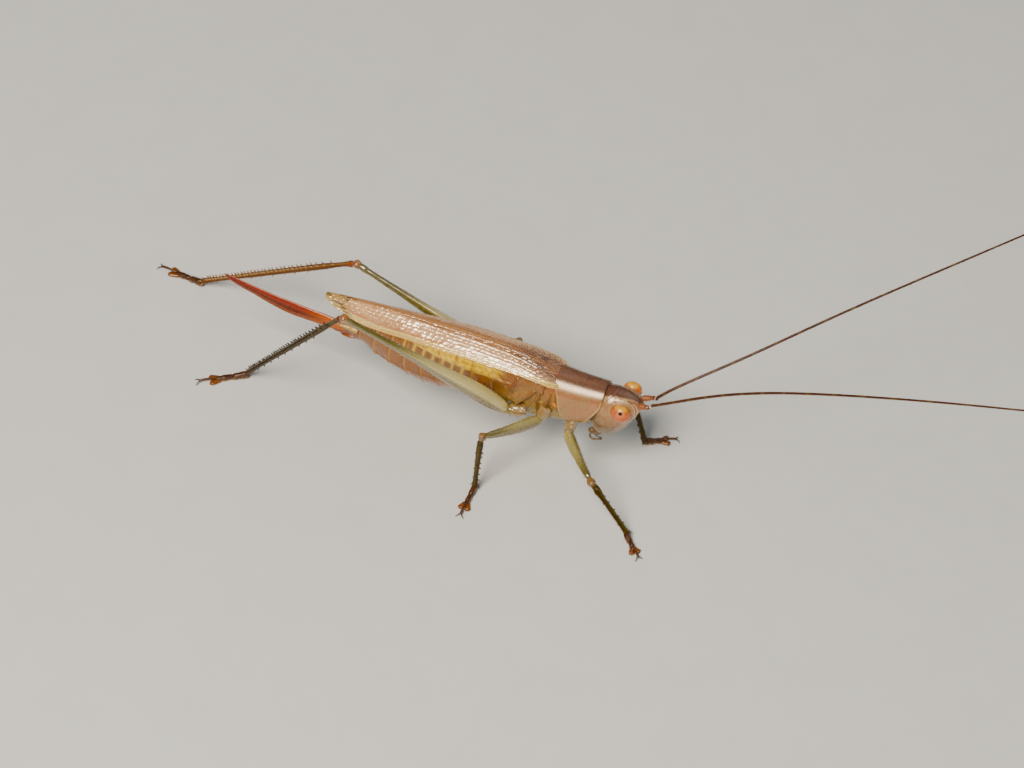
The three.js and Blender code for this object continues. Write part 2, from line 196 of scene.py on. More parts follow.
def install(thing, nodes):
    bpy.context.scene.collection.objects.link(thing)
    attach(thing, "root")
    if nodes:
        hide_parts(*nodes)
    return thing


def tube(path, up, depth, width, around=24, square=1.0):
    # an oval ring across the path at each of its points; square under 1 flattens the sides
    path = np.asarray(path, float)
    along = unit(np.gradient(path, axis=0))
    across = unit(np.cross(along, up))
    rise = np.cross(across, along)
    angle = turnsAround(around)
    c, s = (signedPower(turn(angle), square)[..., None] for turn in (np.cos, np.sin))
    depth, width = (np.broadcast_to(size, len(path))[:, None, None] for size in (depth, width))
    return path[:, None] + across[:, None] * c * width / 2 + rise[:, None] * s * depth / 2


def roundEnds(t, start, end):
    # factor that closes a tube to a point over the first and last share of its length
    a = np.sqrt(np.clip(1 - (1 - np.clip(t / start, 0, 1)) ** 2, 0, 1)) if start else 1
    b = np.sqrt(np.clip(1 - (1 - np.clip((1 - t) / end, 0, 1)) ** 2, 0, 1)) if end else 1
    return np.maximum(a * b, 0.02)


def addNode(tree, kind, settings=None, links=None):
    # a node with its settings; links are input name or number to an output socket
    node = tree.nodes.new("ShaderNode" + kind)
    for key, value in (settings or {}).items():
        if isinstance(key, str) and hasattr(node, key):
            setattr(node, key, value)
        else:
            node.inputs[key].default_value = value
    for key, socket in (links or {}).items():
        tree.links.new(socket, node.inputs[key])
    return node


def paint(tree, colour, tint, fac):
    # lays one colour over another, which is a socket or a plain hex value
    settings, links = {"Color2": toLinear(tint)}, {"Fac": fac}
    if isinstance(colour, int):
        settings["Color1"] = toLinear(colour)
    else:
        links["Color1"] = colour
    return addNode(tree, "MixRGB", settings, links).outputs[0]


glossPatch = 0.2  # size in millimetres of the patches where the gloss wanders
shellSockets = {"ior": "IOR", "level": "Specular IOR Level", "tint": "Specular Tint"}
warmGlint = toLinear(0xFFE9C4)  # waxed shells throw back a slightly golden glint


def cuticle(name, base, layers=(), mottle=(), shader=None, relief=(), gloss=None):
    # insect shell: a base colour, painted layers (field, colour, strength), a fine mottle (colour, size,
    # strength), raised grain (texture, size, height) and a roughness that wanders by the gloss amount;
    # sizes and heights in millimetres
    material = bpy.data.materials.new(name)
    material.use_nodes = True
    tree = material.node_tree
    tree.nodes.clear()
    coords = addNode(tree, "TexCoord").outputs["Object"]
    colour = base
    for tint, sizeMm, strength in mottle:
        coarse = {"Scale": 1 / (sizeMm * mm), "Detail": 3.0, "Roughness": 0.6}
        noise = addNode(tree, "TexNoise", coarse, {"Vector": coords}).outputs["Fac"]
        span = {"From Min": 0.44, "From Max": 0.66, "To Max": strength}
        spread = addNode(tree, "MapRange", span, {"Value": noise}).outputs[0]
        colour = paint(tree, colour, tint, spread)
    for field, tint, strength in layers:
        mask = addNode(tree, "Attribute", {"attribute_name": field}).outputs["Fac"]
        share = {"operation": "MULTIPLY", 1: strength, "use_clamp": True}
        mask = addNode(tree, "Math", share, {0: mask}).outputs[0]
        colour = paint(tree, colour, tint, mask)
    settings = {"Roughness": 0.38, "IOR": 1.54, **(shader or {})}
    links = {}
    if isinstance(colour, int):
        settings["Base Color"] = toLinear(colour)
    else:
        links["Base Color"] = colour
    if gloss:
        fine = {"Scale": 1 / (glossPatch * mm), "Detail": 4.0}
        noise = addNode(tree, "TexNoise", fine, {"Vector": coords}).outputs["Fac"]
        middle = settings.pop("Roughness")
        span = {"From Min": 0.35, "From Max": 0.65, "To Min": middle - gloss, "To Max": middle + gloss}
        links["Roughness"] = addNode(tree, "MapRange", span, {"Value": noise}).outputs[0]
    normal = None
    for kind, sizeMm, height in relief:
        texture = addNode(tree, kind, {"Scale": 1 / (sizeMm * mm)}, {"Vector": coords})
        value = texture.outputs["Distance"] if kind == "TexVoronoi" else texture.outputs["Fac"]
        before = {"Normal": normal} if normal else {}
        lift = {"Strength": 0.6, "Distance": height * mm}
        normal = addNode(tree, "Bump", lift, {"Height": value, **before}).outputs[0]
    if normal:
        links["Normal"] = normal
    surface = addNode(tree, "BsdfPrincipled", settings, links)
    addNode(tree, "OutputMaterial", None, {"Surface": surface.outputs[0]})
    return material


def shine(roughness, coat, coatRoughness, glow, glowMm, coatIor=None, **own):
    # gloss of a shell and its wax coat; light soaks into thin living cuticle and comes back warmer
    own = {label: own[key] for key, label in shellSockets.items() if key in own}
    if coatIor:
        own["Coat IOR"] = coatIor
    return {"Roughness": roughness, "Coat Weight": coat, "Coat Roughness": coatRoughness,
            "Subsurface Weight": glow, "Subsurface Radius": (1.0, 0.55, 0.3), "Subsurface Scale": glowMm * mm,
            **own}


def nodePoints(name):
    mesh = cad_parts[name].data
    co = np.zeros(len(mesh.vertices) * 3)
    mesh.vertices.foreach_get("co", co)
    return np.unique(np.round(co.reshape(-1, 3) / mm, 4), axis=0)


def boxCentre(name):
    low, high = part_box(name)
    return (np.array(low) + np.array(high)) / 2 / mm


def endOf(name, towards, reach=0.05):
    # middle of the ring that ends a slim solid, on the side of a given place
    points = nodePoints(name)
    centre = points.mean(0)
    axis = np.linalg.svd(points - centre)[2][0]
    far = (points - centre) @ axis * np.sign(axis @ (towards - centre))
    return points[far > far.max() - reach].mean(0)


# The body's own axes, found from the eyes: x forward, y left, z up
trunk = {"pitch": 0.022, "eyeX": 3.4, "eyeY": 1.0, "eyeZ": 0.6}  # nose-down angle in radians, eye centre
eyeMiddle = (boxCentre("eye_left") + boxCentre("eye_right")) / 2
bodyY = unit(boxCentre("eye_left") - boxCentre("eye_right"))
level = np.cross([1.0, 0, 0], bodyY)
bodyX = math.cos(trunk["pitch"]) * np.array([1.0, 0, 0]) - math.sin(trunk["pitch"]) * level
bodyZ = np.cross(bodyX, bodyY)
bodyTurn = np.array([bodyX, bodyY, bodyZ])
bodyOrigin = eyeMiddle - np.array([trunk["eyeX"], 0, trunk["eyeZ"]]) @ bodyTurn


def fromBody(points):
    return points @ bodyTurn + bodyOrigin


def toBody(points):
    return (points - bodyOrigin) @ bodyTurn.T


def patchAt(x, z, x0, z0, width, height):
    # a soft oval patch of height 1 on a side view
    return np.exp(-((x - x0) / width) ** 2 - ((z - z0) / height) ** 2)


def creaseAt(flat, x0, z0, x1, z1, width):
    # closeness, 0 to 1, to a straight line drawn on a flat view
    start, run = np.array([x0, z0]), np.array([x1 - x0, z1 - z0])
    off = flat - start
    t = np.clip(off @ run / (run @ run), 0, 1)
    return np.exp(-np.sum((off - t[..., None] * run) ** 2, -1) / width ** 2)


# A long lens looks down past the near side; angles in degrees
view = {"azimuth": 16.75, "elevation": 49.02, "roll": 5.32, "distance": 250.0, "lens": 160.7, "sensor": 36.0,
        "aim": (-2.897, -0.861, -0.113),  # in the body's own axes
        "clip": (0.01, 20.0)}  # metres
floorSize = 6000.0
room = {"tint": 0xE9EAEC, "strength": 0.14}  # light that comes from all round
lamps = [  # towards the lamp, distance, size, watts, sRGB colour
    ("keySoftbox", (-0.13, -0.58, 0.8), 230, (78, 118), 0.74, 0xFFF1E0),
    ("skyPanel", (0.25, 0.55, 0.8), 300, (240, 200), 0.09, 0xF4F8FF),
    ("lowFill", (0.5, -0.8, 0.3), 320, (100, 80), 0.09, 0xFFF6EA),
]


def place(data, x, y, z, at):
    # puts a camera or lamp there with those axes; it looks along minus z
    holder = bpy.data.objects.new(data.name, data)
    pose = np.eye(4)
    pose[:3, 0], pose[:3, 1], pose[:3, 2], pose[:3, 3] = x, y, z, at * mm
    holder.matrix_world = Matrix(pose.tolist())
    bpy.context.scene.collection.objects.link(holder)
    return holder


def makeStage():
    # camera, pale floor, soft lamps and a pale grey surround
    aim = fromBody(np.array(view["aim"]))
    az, el, roll = (math.radians(view[key]) for key in ("azimuth", "elevation", "roll"))
    back = np.array([math.sin(az) * math.cos(el), -math.cos(az) * math.cos(el), math.sin(el)])
    right0 = np.array([math.cos(az), math.sin(az), 0])
    up0 = np.cross(back, right0)
    right = right0 * math.cos(roll) + up0 * math.sin(roll)
    up = up0 * math.cos(roll) - right0 * math.sin(roll)
    data = bpy.data.cameras.new("longLens")
    data.lens, data.sensor_width = view["lens"], view["sensor"]
    data.clip_start, data.clip_end = view["clip"]
    bpy.context.scene.camera = place(data, right, up, back, aim + back * view["distance"])
    for name, towards, distance, size, watts, tint in lamps:
        lamp = bpy.data.lights.new(name, "AREA")
        lamp.shape, lamp.size, lamp.size_y = "RECTANGLE", size[0] * mm, size[1] * mm
        lamp.energy, lamp.color = watts, toLinear(tint)[:3]
        z = unit(np.array(towards))
        x = unit(np.cross([0.0, 0.0, 1.0], z))
        place(lamp, x, np.cross(z, x), z, aim + z * distance)
    world = bpy.data.worlds.new("paleRoom")
    world.use_nodes = True
    sky = world.node_tree.nodes["Background"]
    sky.inputs["Color"].default_value = toLinear(room["tint"])
    sky.inputs["Strength"].default_value = room["strength"]
    bpy.context.scene.world = world
    half = floorSize / 2 * mm
    mesh = bpy.data.meshes.new("paleFloor")
    corners = [(-half, -half, 0), (half, -half, 0), (half, half, 0), (-half, half, 0)]
    mesh.from_pydata(corners, [], [(0, 1, 2, 3)])
    floor = bpy.data.objects.new("paleFloor", mesh)
    bpy.context.scene.collection.objects.link(floor)
    # matt painted board: even and pale, no gloss
    mesh.materials.append(cuticle("mattBoard", 0xE1E5E4, (), [(0xDCE0DF, 3.0, 0.5)],
                                  {"Roughness": 0.9, "IOR": 1.45}))


makeStage()
print("stage set")


# Soft belly and flanks in one skin. x along the body, crown, belly, half width, squareness of the lower
# and of the upper half (1 is an ellipse)
trunkShape = [
    (2.0, 0.6, -1.45, 0.66, 0.9, 0.9), (1.4, 0.72, -1.7, 0.76, 0.85, 0.85),
    (0.5, 0.78, -1.98, 0.84, 0.8, 0.8), (-0.3, 0.84, -2.06, 0.92, 0.8, 0.75),
    (-1.2, 1.02, -2.2, 1.14, 0.82, 0.62), (-2.6, 1.22, -2.25, 1.26, 0.82, 0.56),
    (-4.0, 1.3, -2.14, 1.26, 0.9, 0.52), (-6.2, 1.28, -2.4, 1.36, 0.93, 0.5),
    (-8.2, 1.14, -2.58, 1.33, 0.93, 0.53), (-9.6, 0.92, -2.33, 1.18, 0.95, 0.6),
    (-11.0, 0.6, -1.78, 0.87, 0.97, 0.75), (-11.9, 0.3, -1.46, 0.62, 1.0, 0.9),
    (-12.55, 0.02, -1.42, 0.46, 1.0, 1.0), (-12.95, -0.34, -1.3, 0.26, 1.0, 1.0),
]
trunkGrid = {"neck": 2.0, "tail": -12.97, "alongCount": 480, "aroundCount": 176}
# rings of the abdomen: x of the first, length, number, height of the step; fold: z at x = -8, rise, depth
segments = {"first": -4.15, "pitch": 0.98, "count": 9, "step": 0.06, "fold": -1.36, "foldRise": 0.04,
            "foldDepth": 0.07}
# furrows between the plates of the thorax's flank: from x, z to x, z, then depth and half width
flankCreases = [
    (-2.4, -1.02, -1.5, 0.2, 0.12, 0.075), (-1.98, -1.36, -1.12, 0.2, 0.08, 0.06),
    (-1.12, 0.2, -1.05, 0.7, 0.05, 0.06), (-3.08, -0.72, -2.56, 0.66, 0.06, 0.08),
    (-2.4, -1.02, -3.05, -0.8, 0.07, 0.07), (-0.74, -0.15, -0.84, -1.15, 0.1, 0.07),
    (-0.3, 0.25, -0.15, -1.0, 0.06, 0.07), (-1.35, -0.5, -1.25, -1.35, 0.05, 0.06),
    (-3.6, -1.9, -3.95, 0.1, 0.05, 0.08),
]
# swollen plates between them: the same columns, raised
flankPlates = [
    (-2.08, -1.15, -1.4, 0.0, 0.1, 0.17), (-2.85, -0.5, -2.1, 0.1, 0.06, 0.3),
    (-1.06, 0.0, -1.08, -1.05, 0.08, 0.13), (-0.5, 0.1, -0.48, -1.0, 0.08, 0.14),
    (-2.7, -1.5, -2.2, -1.2, 0.12, 0.2),
]
# breathing holes and small warts beside them: x, z, half width, height
spiracles = [(-2.74, -0.33, 0.06), (-4.35, -0.5, 0.04)]
warts = {"cream": (-1.09, -0.65, 0.09, 0.05), "orange": (-0.34, -0.55, 0.13, 0.08)}
holeDepth, ringHole = 0.04, {"share": 0.35, "rise": 0.22, "width": 0.035}
hipBulges = {"at": [(0.7, -1.4), (-0.95, -1.3), (-2.7, -1.35)], "size": (0.55, 0.42), "height": 0.1}
# stains of the flank: x, z, half length, half height
flankStains = {"rust": (-2.9, 0.4, 0.9, 0.4), "membrane": (-0.5, 0.5, 0.45, 0.4),
               "brown": (-3.6, -0.1, 0.5, 0.35)}
# pale line along the flank, x and z, and the pale cross lines under it
paleLine = ([-9.2, -7.7, -6.7, -5.7, -4.8, -2.9], [0.75, 0.58, 0.41, 0.32, 0.26, 0.29])
innerLines = {"first": -5.69, "gap": 0.59, "lean": 0.12, "count": 7}
lineHeight = {"long": 0.02, "inner": 0.012}


def trunkSkin():
    # superellipse rings from neck to tail, pushed along the normals: overlapping rings of the abdomen,
    # a fold along each flank, sutures, breathing holes and bulges over the hips
    x = np.linspace(trunkGrid["neck"], trunkGrid["tail"], trunkGrid["alongCount"])[:, None]
    top, bottom, half, lower, upper = (v[:, None] for v in rows(trunkShape, x[:, 0]))
    angle = turnsAround(trunkGrid["aroundCount"], 0.5)
    c, s = np.cos(angle), np.sin(angle)
    power = np.where(s > 0, upper, lower)
    y = half * signedPower(c, power)
    z = (top + bottom) / 2 + (top - bottom) / 2 * signedPower(s, power)
    points = np.stack([np.broadcast_to(x, y.shape), y, z], -1)
    normals = gridNormals(points)
    foldHeight = segments["fold"] + segments["foldRise"] * (x + 8)
    belly = smoothStep(0.12, -0.12, z - foldHeight)
    lean = 0.22 * belly + 0.05 * np.sin(2.2 * z) * (1 - belly) + 0.02 * waves(points, 1.2, 5)
    place = (segments["first"] - x + lean) / segments["pitch"]
    abdomen = smoothStep(-0.05, 0.1, place)
    share = np.clip(place, 0, segments["count"]) % 1
    ringStep = segments["step"] * (share ** 0.8 - smoothStep(0.9, 1.0, share) * 1.15 - 0.25)
    foldLine = bump(z, foldHeight, 0.07) * abdomen * smoothStep(-12.2, -11.4, x)
    push = ringStep * abdomen - segments["foldDepth"] * foldLine + 0.01 * waves(points, 0.5, 3) * abdomen
    push = push + (0.014 * waves(points, 0.3, 8) + 0.03 * waves(points, 0.9, 9)) * (1 - abdomen)
    outside = smoothStep(0.6, 0.9, np.abs(y))
    flank = smoothStep(-4.1, -3.8, x) * smoothStep(0.5, -0.4, x) * outside
    side = points[..., [0, 2]]
    crease, raised = np.zeros_like(y), np.zeros_like(y)
    for lines, mark, factor in ((flankCreases, crease, -1.5), (flankPlates, raised, 1.4)):
        for *line, height, width in lines:
            near = creaseAt(side, *line, width) * flank
            push = push + factor * height * near
            np.maximum(mark, near, out=mark)
    spots = {}
    for key, (wartX, wartZ, width, height) in warts.items():
        spots[key] = np.exp(-(np.hypot(x - wartX, z - wartZ) / width) ** 4) * outside
        push = push + height * spots[key]
    hole = np.zeros_like(y)
    for holeX, holeZ, width in spiracles:
        hole = np.maximum(hole, patchAt(x, z, holeX, holeZ, width, width / 0.7) * outside)
    for k in range(1, segments["count"] - 1):
        holeX = segments["first"] - segments["pitch"] * (k + ringHole["share"])
        size = (ringHole["width"],) * 2
        hole = np.maximum(hole, patchAt(x, z, holeX, foldHeight + ringHole["rise"], *size) * outside)
    push = push - holeDepth * hole
    for hip in hipBulges["at"]:
        push = push + hipBulges["height"] * patchAt(x, z, *hip, *hipBulges["size"]) * outside
    lineZ = np.interp(x, *paleLine)
    longLine = bump(z, lineZ, 0.022) * smoothStep(-9.6, -8.8, x) * smoothStep(-2.6, -3.2, x)
    inner = (innerLines["first"] - x + innerLines["lean"] * z) / innerLines["gap"]
    inRow = inner % 1
    innerZone = (smoothStep(-0.5, -0.25, z) * smoothStep(0.02, -0.06, z - lineZ)
                 * smoothStep(-1.5, -0.2, inner)
                 * smoothStep(innerLines["count"], innerLines["count"] - 1.4, inner))
    innerLine = np.maximum(bump(inRow, 0, 0.035), bump(inRow, 1, 0.035)) * innerZone
    push = push + lineHeight["long"] * longLine + lineHeight["inner"] * innerLine
    points = points + normals * push[..., None]
    pale = bump(share, 0.93, 0.04) * abdomen * smoothStep(9.3, 8.6, place)
    blotch = smoothStep(-0.6, 0.5, waves(points, 0.35, 26))
    fat = smoothStep(-0.06, 0.06, z - lineZ) * smoothStep(-3.1, -4.0, x)
    fields = {
        "chest": smoothStep(-4.6, -3.4, x), "under": smoothStep(-0.3, -1.2, z) * smoothStep(-4.6, -3.4, x),
        "ochre": np.clip(fat * (0.55 + 0.45 * blotch)
                         + 0.7 * innerZone * bump(np.abs(inRow - 0.5), 0.5, 0.16), 0, 1),
        "belly": smoothStep(-0.6, -1.5, z) * abdomen, "amber": smoothStep(-1.5, -2.1, z) * abdomen,
        "tail": smoothStep(-11.6, -12.6, x), "band": pale,
        "longLine": np.clip(longLine + 0.7 * innerLine, 0, 1),
        "shade": bump(share, 0.06, 0.07) * abdomen * (place > 0.5), "raised": raised, "hole": hole,
        # painted shade: the furrows of the flank and the fold line are painted darker
        "crease": np.clip(crease + foldLine * 0.6, 0, 1), **spots,
        **{key: patchAt(x, z, *stain) * outside for key, stain in flankStains.items()},
    }
    return fromBody(points), fields


# soft cuticle stretched over fat and eggs: satin, warm, light goes in and comes back amber
bellyCuticle = cuticle(
    "softBellyCuticle", 0x8C5316,
    [("chest", 0x8F6327, 0.85), ("under", 0x8B7A2B, 0.7), ("ochre", 0xF9D10F, 0.9),
     ("belly", 0x864E04, 0.6), ("amber", 0x8A4302, 0.8), ("rust", 0x84420A, 0.7),
     ("membrane", 0xB96409, 0.7), ("brown", 0x674010, 0.6), ("raised", 0x967531, 0.5),
     ("shade", 0x542602, 0.45), ("band", 0xEBB03A, 0.35), ("longLine", 0xFAE177, 0.65),
     # the crease layer is painted shade in the flank's furrows and fold
     ("crease", 0x4C2A09, 0.4), ("tail", 0x833902, 0.7), ("cream", 0xF8E178, 0.9),
     ("orange", 0xF78E11, 0.95), ("hole", 0x1B0B03, 0.95)],
    [(0x794711, 0.42, 0.45), (0x804922, 0.14, 0.35), (0xC09341, 0.09, 0.25)],
    shine(0.42, 0.75, 0.12, 0.22, 0.3, coatIor=1.6, level=0.2),
    [("TexNoise", 0.07, 0.03), ("TexNoise", 0.26, 0.09)], 0.08)

trunkPoints, trunkFields = trunkSkin()
Shape().skin(trunkPoints, **trunkFields).piece(
    "trunk_skin", bellyCuticle, ["prothorax", "thorax", "abdomen", "abdomen_tip"], "body")
print("trunk made")


head = {"centre": np.array([2.95, 0.0, -0.15]), "alongCount": 284, "aroundCount": 256, "blend": 16,
        "scale": 0.975, "poleTilt": 12}  # degrees the poles of the grid lean
# egg shapes that add up to the head: centre x, y, z; half sizes along, across, up; tilt in degrees
headLumps = [
    (2.6, 0, 0.1, 1.05, 1.08, 1.14, 0), (3.15, 0, 0.62, 1.28, 0.84, 0.68, 0),
    (2.93, 0, -0.55, 0.9, 0.94, 1.6, 33), (2.55, 0.34, -0.75, 0.86, 0.74, 1.12, 20),
    (2.55, -0.34, -0.75, 0.86, 0.74, 1.12, 20), (3.3, 0.42, 0.3, 0.86, 0.6, 0.7, 0),
    (3.3, -0.42, 0.3, 0.86, 0.6, 0.7, 0), (2.45, 0, -1.35, 0.62, 0.66, 0.7, 20),
]
# smaller ones that stand out from it: the cone between the feelers and their two sockets
headKnobs = [(4.08, 0, 1.12, 0.5, 0.2, 0.18, 0), (4.16, 0.34, 0.78, 0.36, 0.28, 0.34, 0),
             (4.16, -0.34, 0.78, 0.36, 0.28, 0.34, 0), (4.2, 0.43, 0.55, 0.35, 0.27, 0.27, 0),
             (4.2, -0.43, 0.55, 0.35, 0.27, 0.27, 0)]
# seams of the face from the middle out: y, z to y, z; over and under the lip plates, down beside them
facePlates = [(0, -0.7, 0.34, -0.68), (0.34, -0.68, 0.54, -0.55), (0.5, -0.6, 0.42, -1.12),
              (0, -1.12, 0.42, -1.1), (0.42, -1.12, 0.4, -1.7), (0.54, -0.58, 0.8, -1.4),
              (0.62, 0.2, 0.56, -0.5)]
# how far each feature of the head stands out, or is sunk where it is under 0
headRelief = {"eyeRim": 0.035, "eyeMoat": -0.03, "cheek": -0.014, "jaw": -0.02, "brow": -0.02, "seams": -0.03,
              "lip": 0.03, "lipPlate": 0.03, "socket": 0.03, "grain": 0.004, "ridges": 0.06}
eyeShape = {"size": np.array([0.55, 0.42, 0.54]),
            "at": np.array([trunk["eyeX"], trunk["eyeY"], trunk["eyeZ"]]),
            "spotSide": (0.12, 0.79, 0.6), "spotSize": 0.19,  # painted dark spot, where a real eye looks dark only towards the viewer: towards, radians across
            "alongCount": 120, "aroundCount": 130, "facetRows": 34, "facetColumns": 30, "facetHeight": 0.0016}


def pitch(degrees):
    # matrix that leans things forward or back
    c, s = math.cos(math.radians(degrees)), math.sin(math.radians(degrees))
    return np.array([[c, 0, -s], [0, 1, 0], [s, 0, c]])


def farWall(ray, centre, lump, soft=False):
    # distance from the centre along each ray to the far wall of a tilted ellipsoid
    turn = pitch(lump[6])
    size = np.array(lump[3:6])
    offset = ((centre - np.array(lump[:3])) @ turn.T) / size
    run = (ray @ turn.T) / size
    a, b, c = np.sum(run * run, -1), run @ offset, offset @ offset - 1
    inside = b * b - a * c
    wall = (-b + np.sqrt(np.clip(inside, 0, None))) / a
    if soft:
        wall = wall * smoothStep(0, 0.12, inside / np.maximum(b * b, 1e-6))
    return np.clip(np.where(inside > 0, wall, 0), 0, None)


def headSkin():
    # star-shaped surface: the soft maximum of the far walls of the egg shapes, then rims and sutures
    alpha = np.linspace(0.02, math.pi - 0.02, head["alongCount"])[:, None]
    phi = turnsAround(head["aroundCount"], 0.5)
    across = np.sin(alpha)
    ray = np.stack([np.cos(alpha) * np.ones_like(phi), across * np.cos(phi), across * np.sin(phi)], -1)
    ray = ray @ pitch(head["poleTilt"]).T
    blend = head["blend"]
    total = sum(farWall(ray, head["centre"], lump) ** blend for lump in headLumps)
    total = total + sum(farWall(ray, head["centre"], lump, True) ** blend for lump in headKnobs)
    points = head["centre"] + ray * (total ** (1 / blend) * head["scale"])[..., None]
    normals = gridNormals(points)
    normals *= np.sign(np.sum(normals * ray, -1).mean())
    x, y, z = points[..., 0], points[..., 1], points[..., 2]
    off = np.abs(y)
    flat, mirrored = points[..., [0, 2]], np.stack([x, off, z], -1)
    toEye = np.linalg.norm((mirrored - eyeShape["at"]) / eyeShape["size"], axis=-1)
    side, ahead = smoothStep(0.35, 0.6, off), smoothStep(0.1, 0.4, normals[..., 0])
    seams = sum(creaseAt(mirrored[..., 1:], *line, 0.045) for line in facePlates) * ahead
    bulge = smoothStep(3.7, 4.0, x) * smoothStep(1.1, 0.9, z) * smoothStep(0, 0.3, z)
    marks = {
        "eyeRim": bump(toEye, 1.12, 0.07), "eyeMoat": bump(toEye, 1.3, 0.09),
        "cheek": creaseAt(flat, 3.2, -0.02, 2.72, -1.5, 0.05) * side,
        "jaw": creaseAt(flat, 2.95, -1.3, 1.9, -1.0, 0.05) * side,
        "brow": bump(z + 0.5 * x, 0.0, 0.05) * smoothStep(0.75, 0.5, off) * smoothStep(2.4, 2.8, x),
        "seams": np.clip(seams, 0, 1),
        "lip": smoothStep(0.46, 0.36, off) * smoothStep(-1.1, -1.2, z) * ahead,
        "lipPlate": (smoothStep(0.5, 0.4, off) * smoothStep(-0.66, -0.74, z)
                     * smoothStep(-1.08, -1.0, z) * ahead),
        "socket": bump(np.hypot(off - 0.33, z - 0.94), 0.25, 0.04) * smoothStep(4.1, 4.3, x),
        "grain": waves(points, 0.22, 11),
        "ridges": bump(toEye, 1.75, 0.3) * bulge * np.sin(2 * math.pi * toEye / 0.3),
    }
    push = sum(headRelief[key] * mark for key, mark in marks.items())
    points = points + normals * push[..., None]
    above = smoothStep(0.55, 0.95, z)
    edge = off - np.interp(x, [1.5, 2.3, 3.1, 3.9, 4.5], [0.62, 0.52, 0.4, 0.2, 0.1])
    fields = {
        "stripe": smoothStep(0.12, -0.1, edge) * above, "dark": 0.6 * bump(edge, -0.06, 0.06) * above,
        "streak": smoothStep(0.2, 1.0, waves(points * [0.3, 1, 1], 0.15, 25)) * above,
        "cream": 0.6 * bump(edge, 0.09, 0.06) * above * smoothStep(4.6, 4.2, x),
        "milk": smoothStep(0.5, 0.1, np.abs(edge - 0.3)) * above,
        "line": creaseAt(mirrored[..., :2], 3.55, 0.43, 4.2, 0.27, 0.035) * above,
        "olive": smoothStep(0.05, -1.1, z + 0.25 * (x - 3)), "rim": bump(toEye, 1.16, 0.1),
        # painted shade: the sutures of the cheek, jaw, brow and face are painted darker
        "crease": np.clip(0.35 * marks["cheek"] + 0.6 * marks["jaw"]
                          + 0.5 * marks["brow"] + 0.7 * seams, 0, 1),
        "face": smoothStep(3.4, 4.1, x - 0.4 * z),
        # painted light on the ridged bulge before the eye: crests painted pale as a painted highlight,
        # hollows painted darker as painted shade
        "ridge": np.clip(marks["ridges"] * 1.3, 0, 1), "valley": np.clip(-marks["ridges"], 0, 1),
    }
    return fromBody(points), fields


# hard waxed shell: narrow bright glints over a milky, pinkish tan that light soaks into
headCuticle = cuticle(
    "waxedHeadCuticle", 0x9F6C37,
    [("olive", 0x543B02, 0.8), ("face", 0x9E642C, 0.5), ("milk", 0xA27D50, 0.5), ("rim", 0xBD994B, 0.5),
     ("cream", 0xDBC084, 0.9), ("stripe", 0x5E331E, 0.95), ("streak", 0x734230, 0.25),
     # the crease and valley layers are painted shade, the ridge layer a painted highlight
     ("dark", 0x341007, 0.85), ("line", 0x4A1307, 0.85), ("crease", 0x613713, 0.5),
     ("ridge", 0xF2CDB0, 0.7), ("valley", 0x8A4A2C, 0.6)],
    [(0x985832, 0.3, 0.35), (0x73451C, 0.06, 0.3), (0xBAA06B, 0.12, 0.25)],
    shine(0.3, 0.8, 0.3, 0.16, 0.25, coatIor=1.8, ior=1.85, tint=warmGlint),
    [("TexNoise", 0.045, 0.008), ("TexVoronoi", 0.11, 0.004)], 0.06)

headPoints, headFields = headSkin()
Shape().skin(headPoints, **headFields).piece("head_shell", headCuticle, ["head"], "head")


def eyeBall(side):
    # an ellipsoid whose pole points sideways, with hexagon-like facets as a product of two cosines
    alpha = np.linspace(0.02, math.pi - 0.02, eyeShape["alongCount"])[:, None]
    phi = turnsAround(eyeShape["aroundCount"])
    ray = np.stack([np.sin(alpha) * np.cos(phi), side * np.cos(alpha) * np.ones_like(phi),
                    np.sin(alpha) * np.sin(phi)], -1)
    facet = np.cos(phi * eyeShape["facetColumns"]) * np.cos(alpha * eyeShape["facetRows"])
    radius = eyeShape["size"] * (1 + eyeShape["facetHeight"] * facet[..., None])
    points = eyeShape["at"] * [1, side, 1] + ray * radius
    off = np.arccos(np.clip(ray @ unit(np.array(eyeShape["spotSide"]) * [1, side, 1]), -1, 1))
    front = ray[..., 0] * 0.75 + ray[..., 2] * 0.25
    size = eyeShape["spotSize"]
    return fromBody(points), {
        "amber": smoothStep(-0.15, 0.6, front - 0.35 * ray[..., 2]),
        "yellow": bump(ray[..., 2], 0.9, 0.16) + 0.5 * bump(front, 0.95, 0.18),
        # painted shade: a fixed dark spot with a paler ring, where a real eye looks dark only towards the
        # viewer
        "pupil": smoothStep(size * 1.25, size * 0.75, off), "halo": bump(off, size * 1.7, size * 0.7),
        "rust": smoothStep(-0.5, -0.95, ray[..., 2]),
    }


# clear facets over pigment: a wet gloss with the colour sitting inside
eyeLens = cuticle(
    "facetedEyeLens", 0xC35B25,
    # the pupil and halo layers paint that fixed dark spot and its paler ring
    [("amber", 0xCB5D04, 0.85), ("yellow", 0xE8B422, 0.8), ("rust", 0x9D4413, 0.6), ("halo", 0xDDA16E, 0.3),
     ("pupil", 0x0C0605, 1.0)],
    [(0xAA431A, 0.09, 0.3), (0xE88F4A, 0.16, 0.3)],
    shine(0.25, 0.55, 0.05, 0.15, 0.15, level=0.3),
    [("TexVoronoi", 0.035, 0.006)])
for label, side in bothSides:
    eyePoints, eyeFields = eyeBall(side)
    Shape().skin(eyePoints, **eyeFields).piece("eye_lens_" + label, eyeLens, ["eye_" + label], "eye")
print("head made")


# Saddle of the back plate. Half of its section: share from the ridge to the lower edge, y, z
saddleSection = [
    (0, 0, 1.23), (0.16, 0.37, 1.17), (0.3, 0.62, 1.04), (0.39, 0.77, 0.89), (0.48, 0.89, 0.69),
    (0.62, 1.02, 0.3), (0.77, 1.11, -0.24), (0.91, 1.12, -0.84), (1.0, 1.05, -1.18),
]
